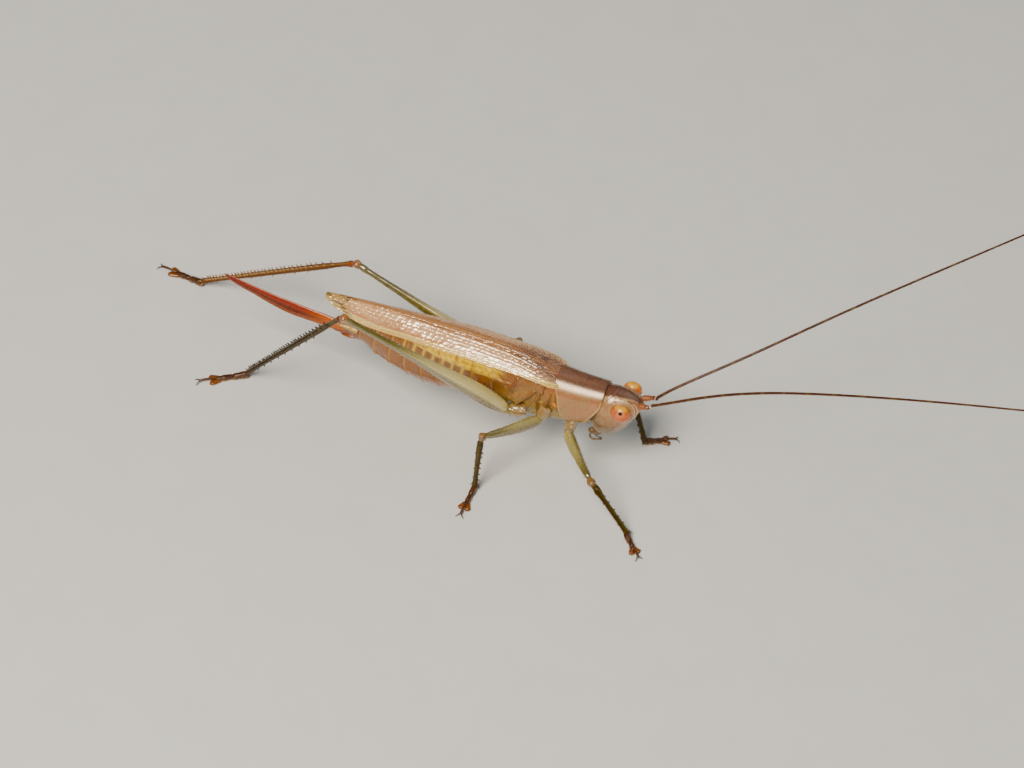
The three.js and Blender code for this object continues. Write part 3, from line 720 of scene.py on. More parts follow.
# front and rear margins: share from the ridge to the lower edge, x of the front, x of the rear
saddleMargins = [
    (0, 2.2, -0.6), (0.3, 2.27, -0.58), (0.45, 2.26, -0.46), (0.62, 2.2, -0.26), (0.77, 1.92, -0.12),
    (0.88, 1.62, 0.06), (0.95, 1.38, 0.3), (1.0, 1.1, 0.68),
]
saddle = {"thickness": 0.09, "rimWidth": 0.07, "widen": 0.06, "dip": 0.05, "rearDip": 0.05, "lift": 0.03,
          "alongCount": 270, "outerCount": 280, "innerCount": 40}
saddleRelief = {"rim": 0.035, "groove": -0.02, "sulcus": -0.02, "midGroove": -0.02, "midLine": 0.012,
                "carina": 0.012, "lumps": 0.006, "grain": 0.002}


def saddleSkin():
    # a thin arched plate: the section carried between the two margins, folded under into an inner face
    n, outer, inner = saddle["alongCount"], saddle["outerCount"], saddle["innerCount"]
    w = np.concatenate([np.linspace(-1, 1, outer), np.linspace(1, -1, inner)])[None]
    under = np.concatenate([np.zeros(outer), np.ones(inner)])[None]
    u = np.linspace(0, 1, n)[:, None]
    y, z = (v[None] for v in rows(saddleSection, np.abs(w[0])))
    front, rear = (v[None] for v in rows(saddleMargins, np.abs(w[0])))
    x = front + (rear - front) * u
    y = y * np.sign(w) * (1 + saddle["widen"] * (u - 0.5) * 2)
    crown = smoothStep(0.3, 1.0, z)
    z = z - saddle["dip"] * np.sin(u * math.pi) * crown - saddle["rearDip"] * u * crown + saddle["lift"]
    points = np.stack([x, y + 0 * x, z + 0 * x], -1)
    normals = gridNormals(points)
    normals[:, 0], normals[:, outer - 1] = normals[:, 1], normals[:, outer - 2]
    if np.sum(normals[n // 2, outer // 2] * [0, 0, 1]) < 0:
        normals = -normals
    width = np.linalg.norm(points[0] - points[-1], axis=-1)[None]
    toFront, toRear = u * width, (1 - u) * width
    toEdge = (1 - np.abs(w)) * 2.6 + 0 * u
    margin = np.minimum(np.minimum(toFront, toRear), toEdge)
    rimWidth = saddle["rimWidth"]
    flat, profile = np.stack([x, np.abs(y)], -1), np.stack([x, z], -1)
    marks = {
        "rim": bump(margin, rimWidth * 0.6, rimWidth * 0.6),
        "groove": bump(margin, rimWidth * 2.1, rimWidth * 0.8),
        "sulcus": creaseAt(flat, 1.35, 0.15, 1.15, 0.7, 0.06) + creaseAt(profile, 1.1, 0.9, 0.95, 0.1, 0.08),
        "midGroove": bump(y, 0, 0.05), "midLine": bump(y, 0, 0.02),
        "carina": bump(np.abs(y), 0.6 + 0.16 * u, 0.07) * smoothStep(0.6, 0.95, z),
        "lumps": waves(points, 0.35, 21), "grain": waves(points, 0.11, 22),
    }
    push = sum(saddleRelief[key] * mark for key, mark in marks.items())
    edgeDrop = saddle["thickness"] * np.sqrt(np.clip(1 - (1 - np.clip(margin / 0.06, 0, 1)) ** 2, 0, 1))
    push = np.where(under > 0, -edgeDrop, push - (saddle["thickness"] - edgeDrop) * 0.5)
    points = points + normals * push[..., None]
    edge = np.abs(y) - (0.5 + 0.2 * u) - 0.012 * waves(points, 0.5, 23)
    above = smoothStep(0.5, 0.8, z)
    streaks = smoothStep(0.1, 0.9, waves(points * [0.3, 1, 1], 0.16, 24)) * smoothStep(0.02, -0.08, edge)
    fields = {
        "stripe": smoothStep(0.16, -0.14, edge) * above, "dusk": smoothStep(0.45, -0.05, edge) * above,
        "streak": streaks * above,
        "dark": (0.55 * bump(edge, -0.05, 0.07) + 0.4 * bump(edge, -0.22, 0.06)) * above,
        "cream": 0.6 * bump(edge, 0.1, 0.07) * above, "rim": np.clip(marks["rim"] * (np.abs(w) > 0.45), 0, 1),
        # fold: painted shade along the front margin of the top, where the head tucks under
        "fold": np.clip(smoothStep(0.16, 0.03, toFront) * above, 0, 1), "olive": smoothStep(-0.3, -1.15, z),
        "rust": bump(toRear, 0.02, 0.05) * smoothStep(-0.4, 0.2, z),
        "ring": bump(toFront, 0.03, 0.05) * smoothStep(0.8, 0.3, z),
        "flush": patchAt(x, z, 0.9, -0.2, 0.55, 0.4) + 0.6 * bump(z, -0.75, 0.2),
    }
    return fromBody(points), fields


# hard waxed plate: darker on top, milky on the sides, with a pale raised rim that catches the light
saddleCuticle = cuticle(
    "waxedSaddleCuticle", 0x976123,
    [("flush", 0x974B19, 0.4), ("olive", 0x84691C, 0.6), ("dusk", 0x996938, 0.75), ("stripe", 0x73482C, 0.92),
     ("streak", 0x502E21, 0.45), ("dark", 0x37150A, 0.85), ("cream", 0xE1AF60, 0.85), ("rust", 0xA3490A, 0.6),
     # the fold layer is painted shade
     ("fold", 0x4C2714, 0.4), ("rim", 0xD1AC5D, 0.75), ("ring", 0xD6BA7E, 0.6)],
    [(0xAE5A3C, 0.5, 0.6), (0x7C7436, 0.4, 0.55), (0x80471D, 0.07, 0.12), (0xC09A5E, 0.15, 0.25)],
    shine(0.31, 0.7, 0.34, 0.16, 0.25, coatIor=1.8, ior=1.9, tint=warmGlint),
    [("TexNoise", 0.05, 0.01), ("TexVoronoi", 0.13, 0.003)], 0.06)

saddlePoints, saddleFields = saddleSkin()
Shape().skin(saddlePoints, **saddleFields).piece("saddle_plate", saddleCuticle, ["pronotum"], "pronotum")
print("saddle made")


# A folded wing. x, ridge z, crease y, crease z, lower edge y, lower edge z
wingShape = [
    (-0.3, 1.04, 0.68, 0.97, 1.0, 0.8), (-0.65, 1.16, 0.68, 1.08, 1.16, 0.88),
    (-1.5, 1.42, 0.57, 1.35, 1.24, 1.0), (-2.6, 1.6, 0.47, 1.54, 1.27, 1.08),
    (-3.7, 1.67, 0.43, 1.61, 1.29, 1.07), (-5.1, 1.69, 0.4, 1.63, 1.3, 1.05),
    (-6.5, 1.68, 0.37, 1.62, 1.27, 0.98), (-8.0, 1.61, 0.33, 1.55, 1.18, 0.83),
    (-9.5, 1.56, 0.28, 1.5, 1.04, 0.66), (-10.5, 1.52, 0.23, 1.46, 0.93, 0.5),
    (-11.7, 1.44, 0.17, 1.38, 0.79, 0.4), (-12.76, 1.34, 0.12, 1.28, 0.6, 0.42),
    (-13.6, 1.24, 0.08, 1.18, 0.38, 0.6), (-14.1, 1.12, 0.05, 1.08, 0.23, 0.78),
    (-14.33, 1.02, 0.03, 1.0, 0.11, 0.9),
]
wing = {"lap": 0.16, "lift": 0.045, "thickness": 0.06, "veinGap": 0.19, "crossGap": 0.33, "vein": 0.02,
        "crossVein": 0.011, "cellTilt": 0.055, "hem": 0.03,
        "alongCount": 540, "outerCount": 140, "innerCount": 26}


def twoEdges(share, width):
    # closeness to either end of a cell
    return np.maximum(bump(share, 0, width), bump(share, 1, width))


def throughPoints(knots, w):
    # Catmull-Rom curve through evenly spaced knots, for every row at once; knots[row, knot, axis]
    before, after = 2 * knots[:, :1] - knots[:, 1:2], 2 * knots[:, -1:] - knots[:, -2:-1]
    knots = np.concatenate([before, knots, after], axis=1)
    spans = knots.shape[1] - 3
    place = np.clip(w * spans, 0, spans - 1e-6)
    k, t = place.astype(int), (place % 1)[None, :, None]
    a, b, c, d = (knots[:, k + step] for step in range(4))
    return 0.5 * (2 * b + (c - a) * t + (2 * a - 5 * b + 4 * c - d) * t ** 2
                  + (3 * b - a - 3 * c + d) * t ** 3)


def wingSkin(side):
    # rows along the body, each a curve over ridge, crease and lower edge; veins are ridges along lines of
    # equal distance from the crease and across them, and every cell between them is a little tilted
    n, outer, inner = wing["alongCount"], wing["outerCount"], wing["innerCount"]
    root, tip = wingShape[0][0], wingShape[-1][0]
    x = root - (np.linspace(0, 1, n) ** 0.97) * (root - tip)
    ridge, creaseY, creaseZ, lowY, lowZ = rows(wingShape, x)
    over = side > 0
    lap = wing["lap"] * smoothStep(-14.3, -12.5, x)
    startY = -lap if over else -lap * 0.6
    startZ = ridge + (wing["lift"] if over else 0) - 0.02 * (not over)
    roofZ = (ridge + creaseZ) / 2 + 0.03 + wing["lift"] * 0.6 * over
    knots = np.stack([np.stack(pair, -1) for pair in (
        (startY, startZ), ((startY + creaseY) / 2, roofZ), (creaseY, creaseZ),
        ((creaseY + lowY) / 2 + 0.06, (creaseZ + lowZ) / 2 + 0.06), (lowY, lowZ))], axis=1)
    w = np.linspace(0, 1, outer)
    section = throughPoints(knots, w)
    length = np.linalg.norm(np.diff(section, axis=1, prepend=section[:, :1]), axis=-1).cumsum(axis=1)
    down = length - length[:, [outer // 2]]
    points = np.concatenate([np.broadcast_to(x[:, None, None], (n, outer, 1)), section], -1)
    normals = unit(np.cross(np.gradient(points, axis=0), np.gradient(points, axis=1)))
    normals *= np.sign(normals[n // 2, outer // 2, 2])
    wide = length[:, -1:] - length[:, [outer // 2]]
    xx = points[..., 0]
    wander = 0.1 * waves(points, 2.4, 31) + 0.035 * waves(points, 0.7, 32)
    strip = down / wing["veinGap"] * (0.55 + 0.45 * 1.25 / np.maximum(wide, 0.5)) + wander
    row, inRow = np.floor(strip), strip % 1
    cellPlace = xx / wing["crossGap"] + 7.3 * scramble(row, row + 3) + 0.35 * inRow + 0.5 * wander
    cell, inCell = np.floor(cellPlace), cellPlace % 1
    vein = twoEdges(inRow, 0.13)
    crossVein = twoEdges(inCell, 0.1) * (1 - vein)
    main = sum(bump(strip, k, 0.22) for k in (0, 2, 5))
    tiltAlong = (scramble(row, cell) - 0.5) * (inCell - 0.5)
    tiltAcross = (scramble(cell, row + 11) - 0.5) * (inRow - 0.5)
    calm = smoothStep(-0.6, -2.0, xx) * (1 - np.clip(vein + crossVein, 0, 1))
    lowEdge = wide - down
    hem = bump(lowEdge, 0.04, 0.05)
    push = wing["vein"] * (0.7 * vein + 0.5 * main) + wing["crossVein"] * crossVein + wing["hem"] * hem
    push = push + wing["cellTilt"] * (tiltAlong + tiltAcross) * calm * smoothStep(0.12, 0.3, lowEdge)
    taper = smoothStep(0, 0.1, x - x[-1])[:, None]
    points = points + normals * (push * taper)[..., None]
    back = np.linspace(0, outer - 1, inner).astype(int)
    backFace = points[:, ::-1][:, back] - normals[:, ::-1][:, back] * (
        wing["thickness"] * (0.3 + 0.7 * taper))[..., None]
    ring = np.concatenate([points, backFace], axis=1) * [1, side, 1]

    base = smoothStep(-6.5, -1.5, xx)
    # painted shade: dark lines along the crease and just inboard of it, for the shade of the fold and of the
    # veins
    edgeLines = bump(down, -0.12, 0.03) + 0.6 * bump(down, 0.0, 0.018) + 0.6 * bump(down, -0.26, 0.02)
    front = smoothStep(-4.2, -1.8, xx - 1.2 * down) * smoothStep(0.75, 0.45, down)
    dots = smoothStep(0.55, 0.8, scramble(row, cell + 5)) * (1 - crossVein)
    fields = {
        "dorsal": smoothStep(-0.06, -0.14, down), "vein": np.clip(vein + 0.7 * crossVein, 0, 1),
        "net": np.clip(1.2 * vein + crossVein, 0, 1) * front, "shade": front * smoothStep(0.5, 0.0, down),
        "smudge": dots * bump(down, -0.3, 0.28) * base, "tip": smoothStep(-12.0, -13.4, xx + 0.4 * down),
        "tipDots": smoothStep(-12.2, -13.0, xx) * smoothStep(0.5, 0.7, scramble(row + 9, cell)) * (1 - vein),
        "hem": smoothStep(0.24, 0.14, lowEdge),
        # painted shade along the inner margin where the wings overlap, stronger on the wing that lies under
        "lap": smoothStep(0.1, 0.0, length) * (1 if not over else 0.5),
        "line": edgeLines * smoothStep(-11.5, -8.0, xx), "pale": bump(lowEdge, 0.25, 0.04),
        "glint": scramble(row + 2, cell + 7) * smoothStep(0, 0.1, down),
        "warm": bump(lowEdge, 0.4, 0.12) * smoothStep(-4, -8, xx),
    }
    # the inner face carries no markings
    plain = np.zeros((n, inner))
    fields = {key: np.concatenate([np.broadcast_to(value, (n, outer)), plain], axis=1)
              for key, value in fields.items()}
    return fromBody(ring), fields


# leathery fore wing: a net of raised veins over thin tilted cells, each with its own wet glint
wingMembrane = cuticle(
    "leatheryWingMembrane", 0xE0A86F,
    [("glint", 0xF9D5A2, 0.6), ("warm", 0xC5712E, 0.65), ("dorsal", 0xC18644, 0.9), ("shade", 0xA76839, 0.5),
     ("vein", 0xC78047, 0.55), ("net", 0x45200A, 0.9), ("hem", 0xFFD642, 0.5), ("pale", 0xFFF37A, 0.85),
     # the line and lap layers are painted shade
     ("smudge", 0x4C2915, 0.8), ("line", 0x3E1F10, 0.8), ("lap", 0x4C2915, 0.6), ("tip", 0xA48838, 0.75),
     ("tipDots", 0x4B341A, 0.8)],
    [(0xC47C48, 0.5, 0.35), (0x9B5F36, 0.08, 0.3), (0xFCDCA7, 0.2, 0.3)],
    shine(0.2, 1.0, 0.1, 0.12, 0.2, coatIor=2.0, ior=1.8, tint=toLinear(0xFFE3B8)),
    [("TexNoise", 0.04, 0.008)], 0.07)
for label, side in bothSides:
    wingPoints, wingFields = wingSkin(side)
    folded = Shape().skin(wingPoints, **wingFields)
    folded.piece("wing_skin_" + label, wingMembrane, ["tegmen_" + label], "wing")
print("wings made")


# Thigh sections: share of the length, depth, width
thighs = {
    "front": [(0, 0.52, 0.5), (0.1, 0.74, 0.6), (0.25, 0.76, 0.6), (0.5, 0.62, 0.5), (0.75, 0.47, 0.4),
              (0.9, 0.4, 0.36), (0.96, 0.44, 0.4), (1.0, 0.4, 0.36)],
    "middle": [(0, 0.44, 0.44), (0.08, 0.68, 0.52), (0.22, 0.79, 0.55), (0.42, 0.7, 0.5), (0.62, 0.55, 0.43),
               (0.8, 0.43, 0.37), (0.91, 0.38, 0.34), (0.96, 0.44, 0.39), (1.0, 0.4, 0.36)],
    "hind": [(0, 0.5, 0.42), (0.03, 0.96, 0.6), (0.08, 1.22, 0.76), (0.16, 1.36, 0.82), (0.24, 1.34, 0.8),
             (0.34, 1.14, 0.7), (0.45, 0.88, 0.57), (0.56, 0.66, 0.46), (0.68, 0.49, 0.38), (0.8, 0.39, 0.32),
             (0.91, 0.355, 0.31), (0.965, 0.46, 0.4), (1.0, 0.42, 0.38)],
}
shins = {
    "front": [(0, 0.3, 0.3), (0.06, 0.34, 0.36), (0.14, 0.42, 0.48), (0.24, 0.35, 0.37), (0.6, 0.31, 0.32),
              (0.92, 0.32, 0.33), (1.0, 0.36, 0.37)],
    "middle": [(0, 0.3, 0.3), (0.1, 0.35, 0.35), (0.5, 0.31, 0.31), (0.92, 0.3, 0.31), (1.0, 0.35, 0.36)],
    "hind": [(0, 0.3, 0.28), (0.022, 0.46, 0.4), (0.045, 0.36, 0.33), (0.2, 0.36, 0.34), (0.6, 0.32, 0.32),
             (0.94, 0.3, 0.32), (1.0, 0.36, 0.38)],
}
# bow of the thigh and of the shin, number and length of the thorns in each row on the shin's upper and lower
# edges, size of the foot and hip, strength of the thigh's pale top and of its brown knee, grid counts
legLook = {
    "front": {"bowSide": 0.1, "bowUp": -0.05, "shinBow": -0.05, "upper": (2, 0.08), "lower": (5, 0.13),
              "foot": 1.18, "hip": 0.66, "top": 0.35, "knee": 0.5,
              "thighGrid": (200, 72), "shinGrid": (220, 48)},
    "middle": {"bowSide": 0.0, "bowUp": -0.14, "shinBow": 0.03, "upper": (3, 0.08), "lower": (6, 0.12),
               "foot": 1.2, "hip": 0.64, "top": 0.35, "knee": 0.5,
               "thighGrid": (200, 72), "shinGrid": (220, 48)},
    "hind": {"bowSide": 0.0, "bowUp": 0.1, "shinBow": 0.03, "upper": (33, 0.17), "lower": (9, 0.12),
             "foot": 1.25, "hip": 0.8, "top": 1.0, "knee": 1.0,
             "thighGrid": (420, 96), "shinGrid": (360, 48)},
}
# where each left thigh turns, in the body's own axes, and from there to where the hip leaves the flank
hips = {"front": ((0.66, 1.06, -2.0), (0.1, -0.45, 0.8)), "middle": ((-0.9, 1.3, -1.55), (0.12, -0.32, 0.72)),
        "hind": ((-2.8, 1.42, -1.6), (0.92, -0.38, 0.14))}
hipProfile = ([0, 0.25, 0.45, 0.56, 0.62, 0.76, 0.88, 1], [1.02, 1.08, 1.02, 0.88, 0.78, 0.82, 0.72, 0.5])
hipGrid = (70, 72)
ankleHeight, kneePast = 0.4, 0.13  # the thigh runs past the turning point of the knee
hatch = {"count": 84, "slant": 1.5, "height": 0.0065}  # chevrons of the hind thigh
spurs = {"upper": 0.26, "lower": 0.34, "thick": 0.07}  # at the end of the shin
thornSteps = 7


def thorn(shape, root, tip, thick, bend=None, **fields):
    # a curved cone of six sides, tapering as the square root of what is left
    t = np.linspace(0, 1, thornSteps)[:, None]
    path = root + (tip - root) * t
    if bend is not None:
        path = path + bend * (t * (1 - t) * 4)
    taper = np.sqrt(1 - t[:, 0] * 0.995)
    up = [0.3, 0.2, 0.93] if abs(unit(tip - root)[2]) < 0.85 else [1.0, 0.1, 0.0]
    shape.skin(tube(path, up, thick * taper, thick * taper, 6), **fields)


def smoothed(values, span=7):
    # running mean, with the ends held
    return np.convolve(np.pad(values, span // 2, mode="edge"), np.ones(span) / span, mode="valid")


def limbPath(start, end, up, n, bowSide=0.0, bowUp=0.0):
    # straight, bowed by a skewed half wave; also gives the sideways and upward directions
    t = np.linspace(0, 1, n)
    along = unit(end - start)
    across = unit(np.cross(along, up))
    rise = np.cross(across, along)
    wave = np.sin(math.pi * t ** 0.8)[:, None]
    return t, start + (end - start) * t[:, None] + wave * (across * bowSide + rise * bowUp), across, rise


def kindOf(name):
    return name.split("_")[0]


def legJoints(name):
    # turning point of the thigh, knee, ankle and tip of the foot
    side = 1 if name.endswith("left") else -1
    shin = boxCentre("tibia_" + name)
    foot = boxCentre("tarsus_" + name)
    hip = fromBody(np.array(hips[kindOf(name)][0]) * [1, side, 1])
    knee = endOf("femur_" + name, shin)
    ankle = endOf("tarsus_" + name, shin)
    toe = endOf("tarsus_" + name, 2 * foot - shin)
    return hip, knee, np.array([*ankle[:2], ankleHeight]), np.array([*toe[:2], 0.0])


def hipPiece(name, hip, thigh):
    # a stout cone hanging from the flank, ridged lengthwise, a waist, and a small joint for the thigh
    kind, side = kindOf(name), 1 if name.endswith("left") else -1
    t = np.linspace(0, 1, hipGrid[0])
    start = fromBody(toBody(hip) + np.array(hips[kind][1]) * [1, side, 1])
    corner = hip - thigh * 0.05
    reach = hip + thigh * 0.34
    path = start * ((1 - t) ** 2)[:, None] + corner * (2 * t * (1 - t))[:, None] + reach * (t ** 2)[:, None]
    size = smoothed(np.interp(t, *hipProfile)) * legLook[kind]["hip"] * roundEnds(t, 0, 0.08)
    points = tube(path, [1.0, 0, 0.2], size, size * 0.94, hipGrid[1])
    angle = turnsAround(hipGrid[1])
    waist = bump(t, 0.6, 0.03)[:, None]
    ridges = bump(np.cos(angle), 0.45, 0.16) + bump(np.cos(angle), -0.5, 0.16)
    ridges = ridges * smoothStep(0.62, 0.45, t)[:, None]
    push = 0.025 * ridges - 0.015 * waist + 0.01 * waves(points, 0.3, 41)
    points = points + gridNormals(points) * push[..., None]
    # painted light: the waist painted darker as painted shade, the lengthwise ridges paler as a painted
    # highlight
    return points, {"crease": waist, "base": (1 - t)[:, None], "ridge": ridges}


def thighSkin(name, hip, knee, shinUp):
    # a tube that swells near the hip, keeled above and below, fluted on its sides, with a lobed knee
    kind = kindOf(name)
    look = legLook[kind]
    n, m = look["thighGrid"]
    past = knee + unit(knee - hip) * kneePast
    t, path, _, _ = limbPath(hip, past, shinUp, n, look["bowSide"], look["bowUp"])
    depth, width = rows(thighs[kind], t)
    ends = roundEnds(t, 0.025, 0.018)
    points = tube(path, shinUp, depth * ends, width * ends, m, 0.92)
    angle = turnsAround(m)
    c, s = np.cos(angle), np.sin(angle)
    length = np.linalg.norm(knee - hip) + kneePast
    normals = outwardNormals(points, path[:, None])
    tt, size = t[:, None], depth[:, None]
    toKnee = (1 - tt) * length
    middle = smoothStep(0.05, 0.15, tt) * smoothStep(0.94, 0.85, tt)
    keels = (bump(s, 0.8, 0.07) + bump(s, -0.9, 0.08)) * middle
    flute = bump(s, 0.0, 0.3) * smoothStep(0.3, 0.5, tt) * smoothStep(0.95, 0.8, tt)
    lobe = bump(tt, 1 - 0.22 / length, 0.17 / length) * bump(np.abs(c), 1.0, 0.5)
    neck = bump(tt, 1 - 0.5 / length, 0.1 / length)
    chevron = np.sin(2 * math.pi * (tt * hatch["count"] + hatch["slant"] * np.abs(s - 0.25)))
    chevron = chevron * smoothStep(0.04, 0.12, tt) * smoothStep(0.6, 0.4, tt)
    # the furrow by the hind thigh's base is dented and also painted darker, as painted shade
    furrow = bump(s, -0.06, 0.09) * smoothStep(0.01, 0.04, tt) * smoothStep(0.26, 0.1, tt) * (kind == "hind")
    push = 0.022 * size * keels - 0.03 * size * flute + 0.05 * lobe - 0.035 * neck - 0.05 * furrow
    if kind == "hind":
        push = push + hatch["height"] * chevron * smoothStep(0.12, 0.4, np.abs(c))
    points = points + normals * ((push + 0.004 * waves(points, 0.25, 43)) * ends[:, None])[..., None]
    spots = scramble(tt * 150 + 0.5 * np.floor(angle * 14 % 2), angle * 14)
    fields = {
        "green": smoothStep(0.35, 0.8, tt), "furrow": furrow,
        "top": smoothStep(0.3, 0.78, s) * smoothStep(0.75, 0.35, tt) * look["top"],
        "under": smoothStep(0.62, 0.15, s) * smoothStep(0.7, 0.35, tt),
        "pits": smoothStep(0.62, 0.8, spots) * smoothStep(0.5, 0.25, s) * smoothStep(0.7, 0.45, tt),
        "hatch": smoothStep(0.1, 0.9, chevron) * smoothStep(0, 0.3, s), "keel": bump(s, -0.92, 0.1) * middle,
        "knee": smoothStep(0.5, 0.3, toKnee) * look["knee"], "pale": smoothStep(0.1, 0.0, tt),
        "kneeDark": bump(toKnee, 0.1, 0.1) * smoothStep(0.3, 0.9, np.abs(c)),
    }
    return points, fields


def shinShape(name, knee, ankle, up):
    # an oval rod with a rounded head in the knee, rows of thorns on its edges and spurs at its end
    kind = kindOf(name)
    look = legLook[kind]
    n, m = look["shinGrid"]
    t, path, across, rise = limbPath(knee, ankle, up, n, 0.0, look["shinBow"])
    depth, width = rows(shins[kind], t)
    ends = roundEnds(t, 0.02, 0.012)
    points = tube(path, up, depth * ends, width * ends, m)
    angle = turnsAround(m)
    c, s = np.cos(angle), np.sin(angle)
    tt = t[:, None]
    normals = outwardNormals(points, path[:, None])
    channel = bump(np.abs(c), 1.0, 0.08) + bump(np.abs(s), 1.0, 0.06)
    # the hearing slits of a katydid, on its front shins only
    ear = bump(tt, 0.13, 0.04) * bump(np.abs(c), 1.0, 0.12) * (kind == "front")
    push = -0.018 * channel * smoothStep(0.04, 0.1, tt) - 0.05 * ear + 0.003 * waves(points, 0.2, 45)
    push = push - 0.05 * bump(tt, 0.27 / np.linalg.norm(ankle - knee), 0.03) * (s > 0)
    points = points + normals * (push * ends[:, None])[..., None]
    shape = Shape()
    # the lengthwise channels are dented and painted darker by the stripe field, as painted shade
    shape.skin(points, stripe=channel * smoothStep(0.03, 0.1, tt), edge=bump(np.abs(c * s), 0.5, 0.08),
               head=smoothStep(0.06, 0.0, tt), end=smoothStep(0.9, 1.0, tt), ear=ear)
    along = unit(ankle - knee)
    tipShade = np.linspace(0, 1, thornSteps)[:, None]
    draw = np.random.default_rng(len(name) * 7 + ord(name[0]) + ord(name[-1]))
    # edge, x of the first thorn as a share, crowding towards the knee
    for which, sign, first, crowd in (("upper", 1, 0.12, 0.75), ("lower", -1, 0.3, 1)):
        count, reach = look[which]
        for side in (-1, 1):
            for k in range(count):
                share = (k + 0.5 * (side > 0) + draw.uniform(-0.15, 0.15)) / count
                i = min(int((first + (0.97 - first) * max(share, 0) ** crowd) * n), n - 2)
                out = unit(across * side * 0.8 + rise * sign)
                root = path[i] + across * side * width[i] * 0.36 + rise * sign * depth[i] * 0.36
                tip = root + (out * 0.8 + along * 0.75) * (reach * draw.uniform(0.85, 1.1))
                thorn(shape, root, tip, 0.04 + reach * 0.4, along * -0.02, thorn=1.0, thornTip=tipShade)
    for sign, reach in ((1, spurs["upper"]), (-1, spurs["lower"])):
        for side in (-1, 1):
            root = ankle + across * side * 0.13 + rise * sign * 0.1 - along * 0.05
            tip = root + (across * side * 0.35 + rise * sign * 0.25 + along * 0.8) * reach
            thorn(shape, root, tip, spurs["thick"], thorn=1.0, thornTip=tipShade)
    return shape


footGrid = (34, 26)
# the first three joints: start and end as shares of the foot, four widths, four heights, lift off the floor
footJoints = [(-0.06, 0.3, [0.28, 0.29, 0.28, 0.23], [0.4, 0.37, 0.28, 0.23], 0.03),
              (0.26, 0.5, [0.19, 0.24, 0.27, 0.23], [0.23, 0.27, 0.26, 0.2], 0.02),
              (0.45, 0.6, [0.16, 0.22, 0.24, 0.2], [0.2, 0.24, 0.2, 0.15], 0.03)]
# the soft pads under them, a pair each: start, end, widths, distance out at the end
footPads = [(0.02, 0.14, [0.1, 0.13, 0.13, 0.1], 0.07), (0.17, 0.29, [0.1, 0.14, 0.14, 0.1], 0.07),
            (0.38, 0.49, [0.1, 0.14, 0.14, 0.1], 0.08)]


def footShape(name, ankle, toe):
    # four joints: two low padded ones, a third of two spread lobes, and a slim arched one with two claws
    length = np.linalg.norm((toe - ankle)[:2])
    along = unit(np.array([*(toe - ankle)[:2], 0.0]))
    across = np.array([-along[1], along[0], 0.0])
    up = np.array([0.0, 0.0, 1.0])
    wide = legLook[kindOf(name)]["foot"]
    base = np.array([*ankle[:2], 0.0])
    shape = Shape()

    def joint(start, end, width, height, sole, lift=0.0, side=0.0, toSide=0.0, **fields):
        t = np.linspace(0, 1, footGrid[0])
        x = (start + (end - start) * t) * length
        y = side + (toSide - side) * t
        w, h = (np.interp(t, [0, 0.15, 0.8, 1], size) * wide for size in (width, height))
        z = sole + h / 2 + lift * np.sin(math.pi * t)
        path = base + along * x[:, None] + across * y[:, None] + up * z[:, None]
        ends = roundEnds(t, 0.2, 0.2)
        points = tube(path, up, h * ends, w * ends, footGrid[1], 0.9)
        points[..., 2] = np.maximum(points[..., 2], 0.0)
        shape.skin(points, **fields)

    for start, end, width, height, sole in footJoints:
        joint(start, end, width, height, sole)
    for side in (-1, 1):
        joint(0.48, 0.73, [0.12, 0.2, 0.27, 0.24], [0.12, 0.17, 0.17, 0.12], 0.0, 0.0,
              side * 0.06, side * 0.25, lobe=1.0)
        for start, end, width, toSide in footPads:
            joint(start, end, width, [0.06, 0.1, 0.1, 0.06], 0.0, 0.0, side * 0.07, side * toSide, pad=1.0)
    joint(0.52, 0.93, [0.08, 0.085, 0.11, 0.13], [0.1, 0.09, 0.11, 0.13], 0.12, 0.07, slim=1.0)
    for side in (-1, 1):
        root = base + along * length * 0.9 + across * side * 0.04 + up * 0.19
        tip = base + along * length * 0.985 + across * side * 0.25 + up * 0.03
        thorn(shape, root, tip, 0.075, up * 0.05 + along * 0.05, claw=1.0)
    return shape


# thin translucent cuticle over pale muscle: a long wet highlight on pale olive, browner and dotted below
thighCuticle = cuticle(
    "translucentThighCuticle", 0x746E1B,
    [("base", 0xA27548, 0.75), ("green", 0x584F04, 0.8), ("under", 0x6B540D, 0.75), ("top", 0xE3D38F, 0.7),
     # the furrow and crease layers are painted shade, the ridge layer a painted highlight on the hips
     ("hatch", 0x706F28, 0.5), ("pits", 0x60400D, 0.6), ("furrow", 0x523707, 0.75), ("keel", 0x9C9034, 0.7),
     ("pale", 0xB3A24D, 0.5), ("ridge", 0xBBA858, 0.35), ("crease", 0x58400E, 0.6), ("knee", 0xA7662C, 0.85),
     ("kneeDark", 0x3E1102, 0.7)],
    [(0x6B5C1A, 0.3, 0.4), (0x95893E, 0.12, 0.35)],
    shine(0.27, 1.0, 0.15, 0.2, 0.25, coatIor=1.9, level=0.35),
    [("TexNoise", 0.05, 0.008)], 0.06)
# thick dark cuticle: tough rod with pale edges, lengthwise channels and black-tipped thorns
shinShine = shine(0.3, 0.08, 0.1, 0.1, 0.15, level=0.16, tint=toLinear(0xFFEDBC))
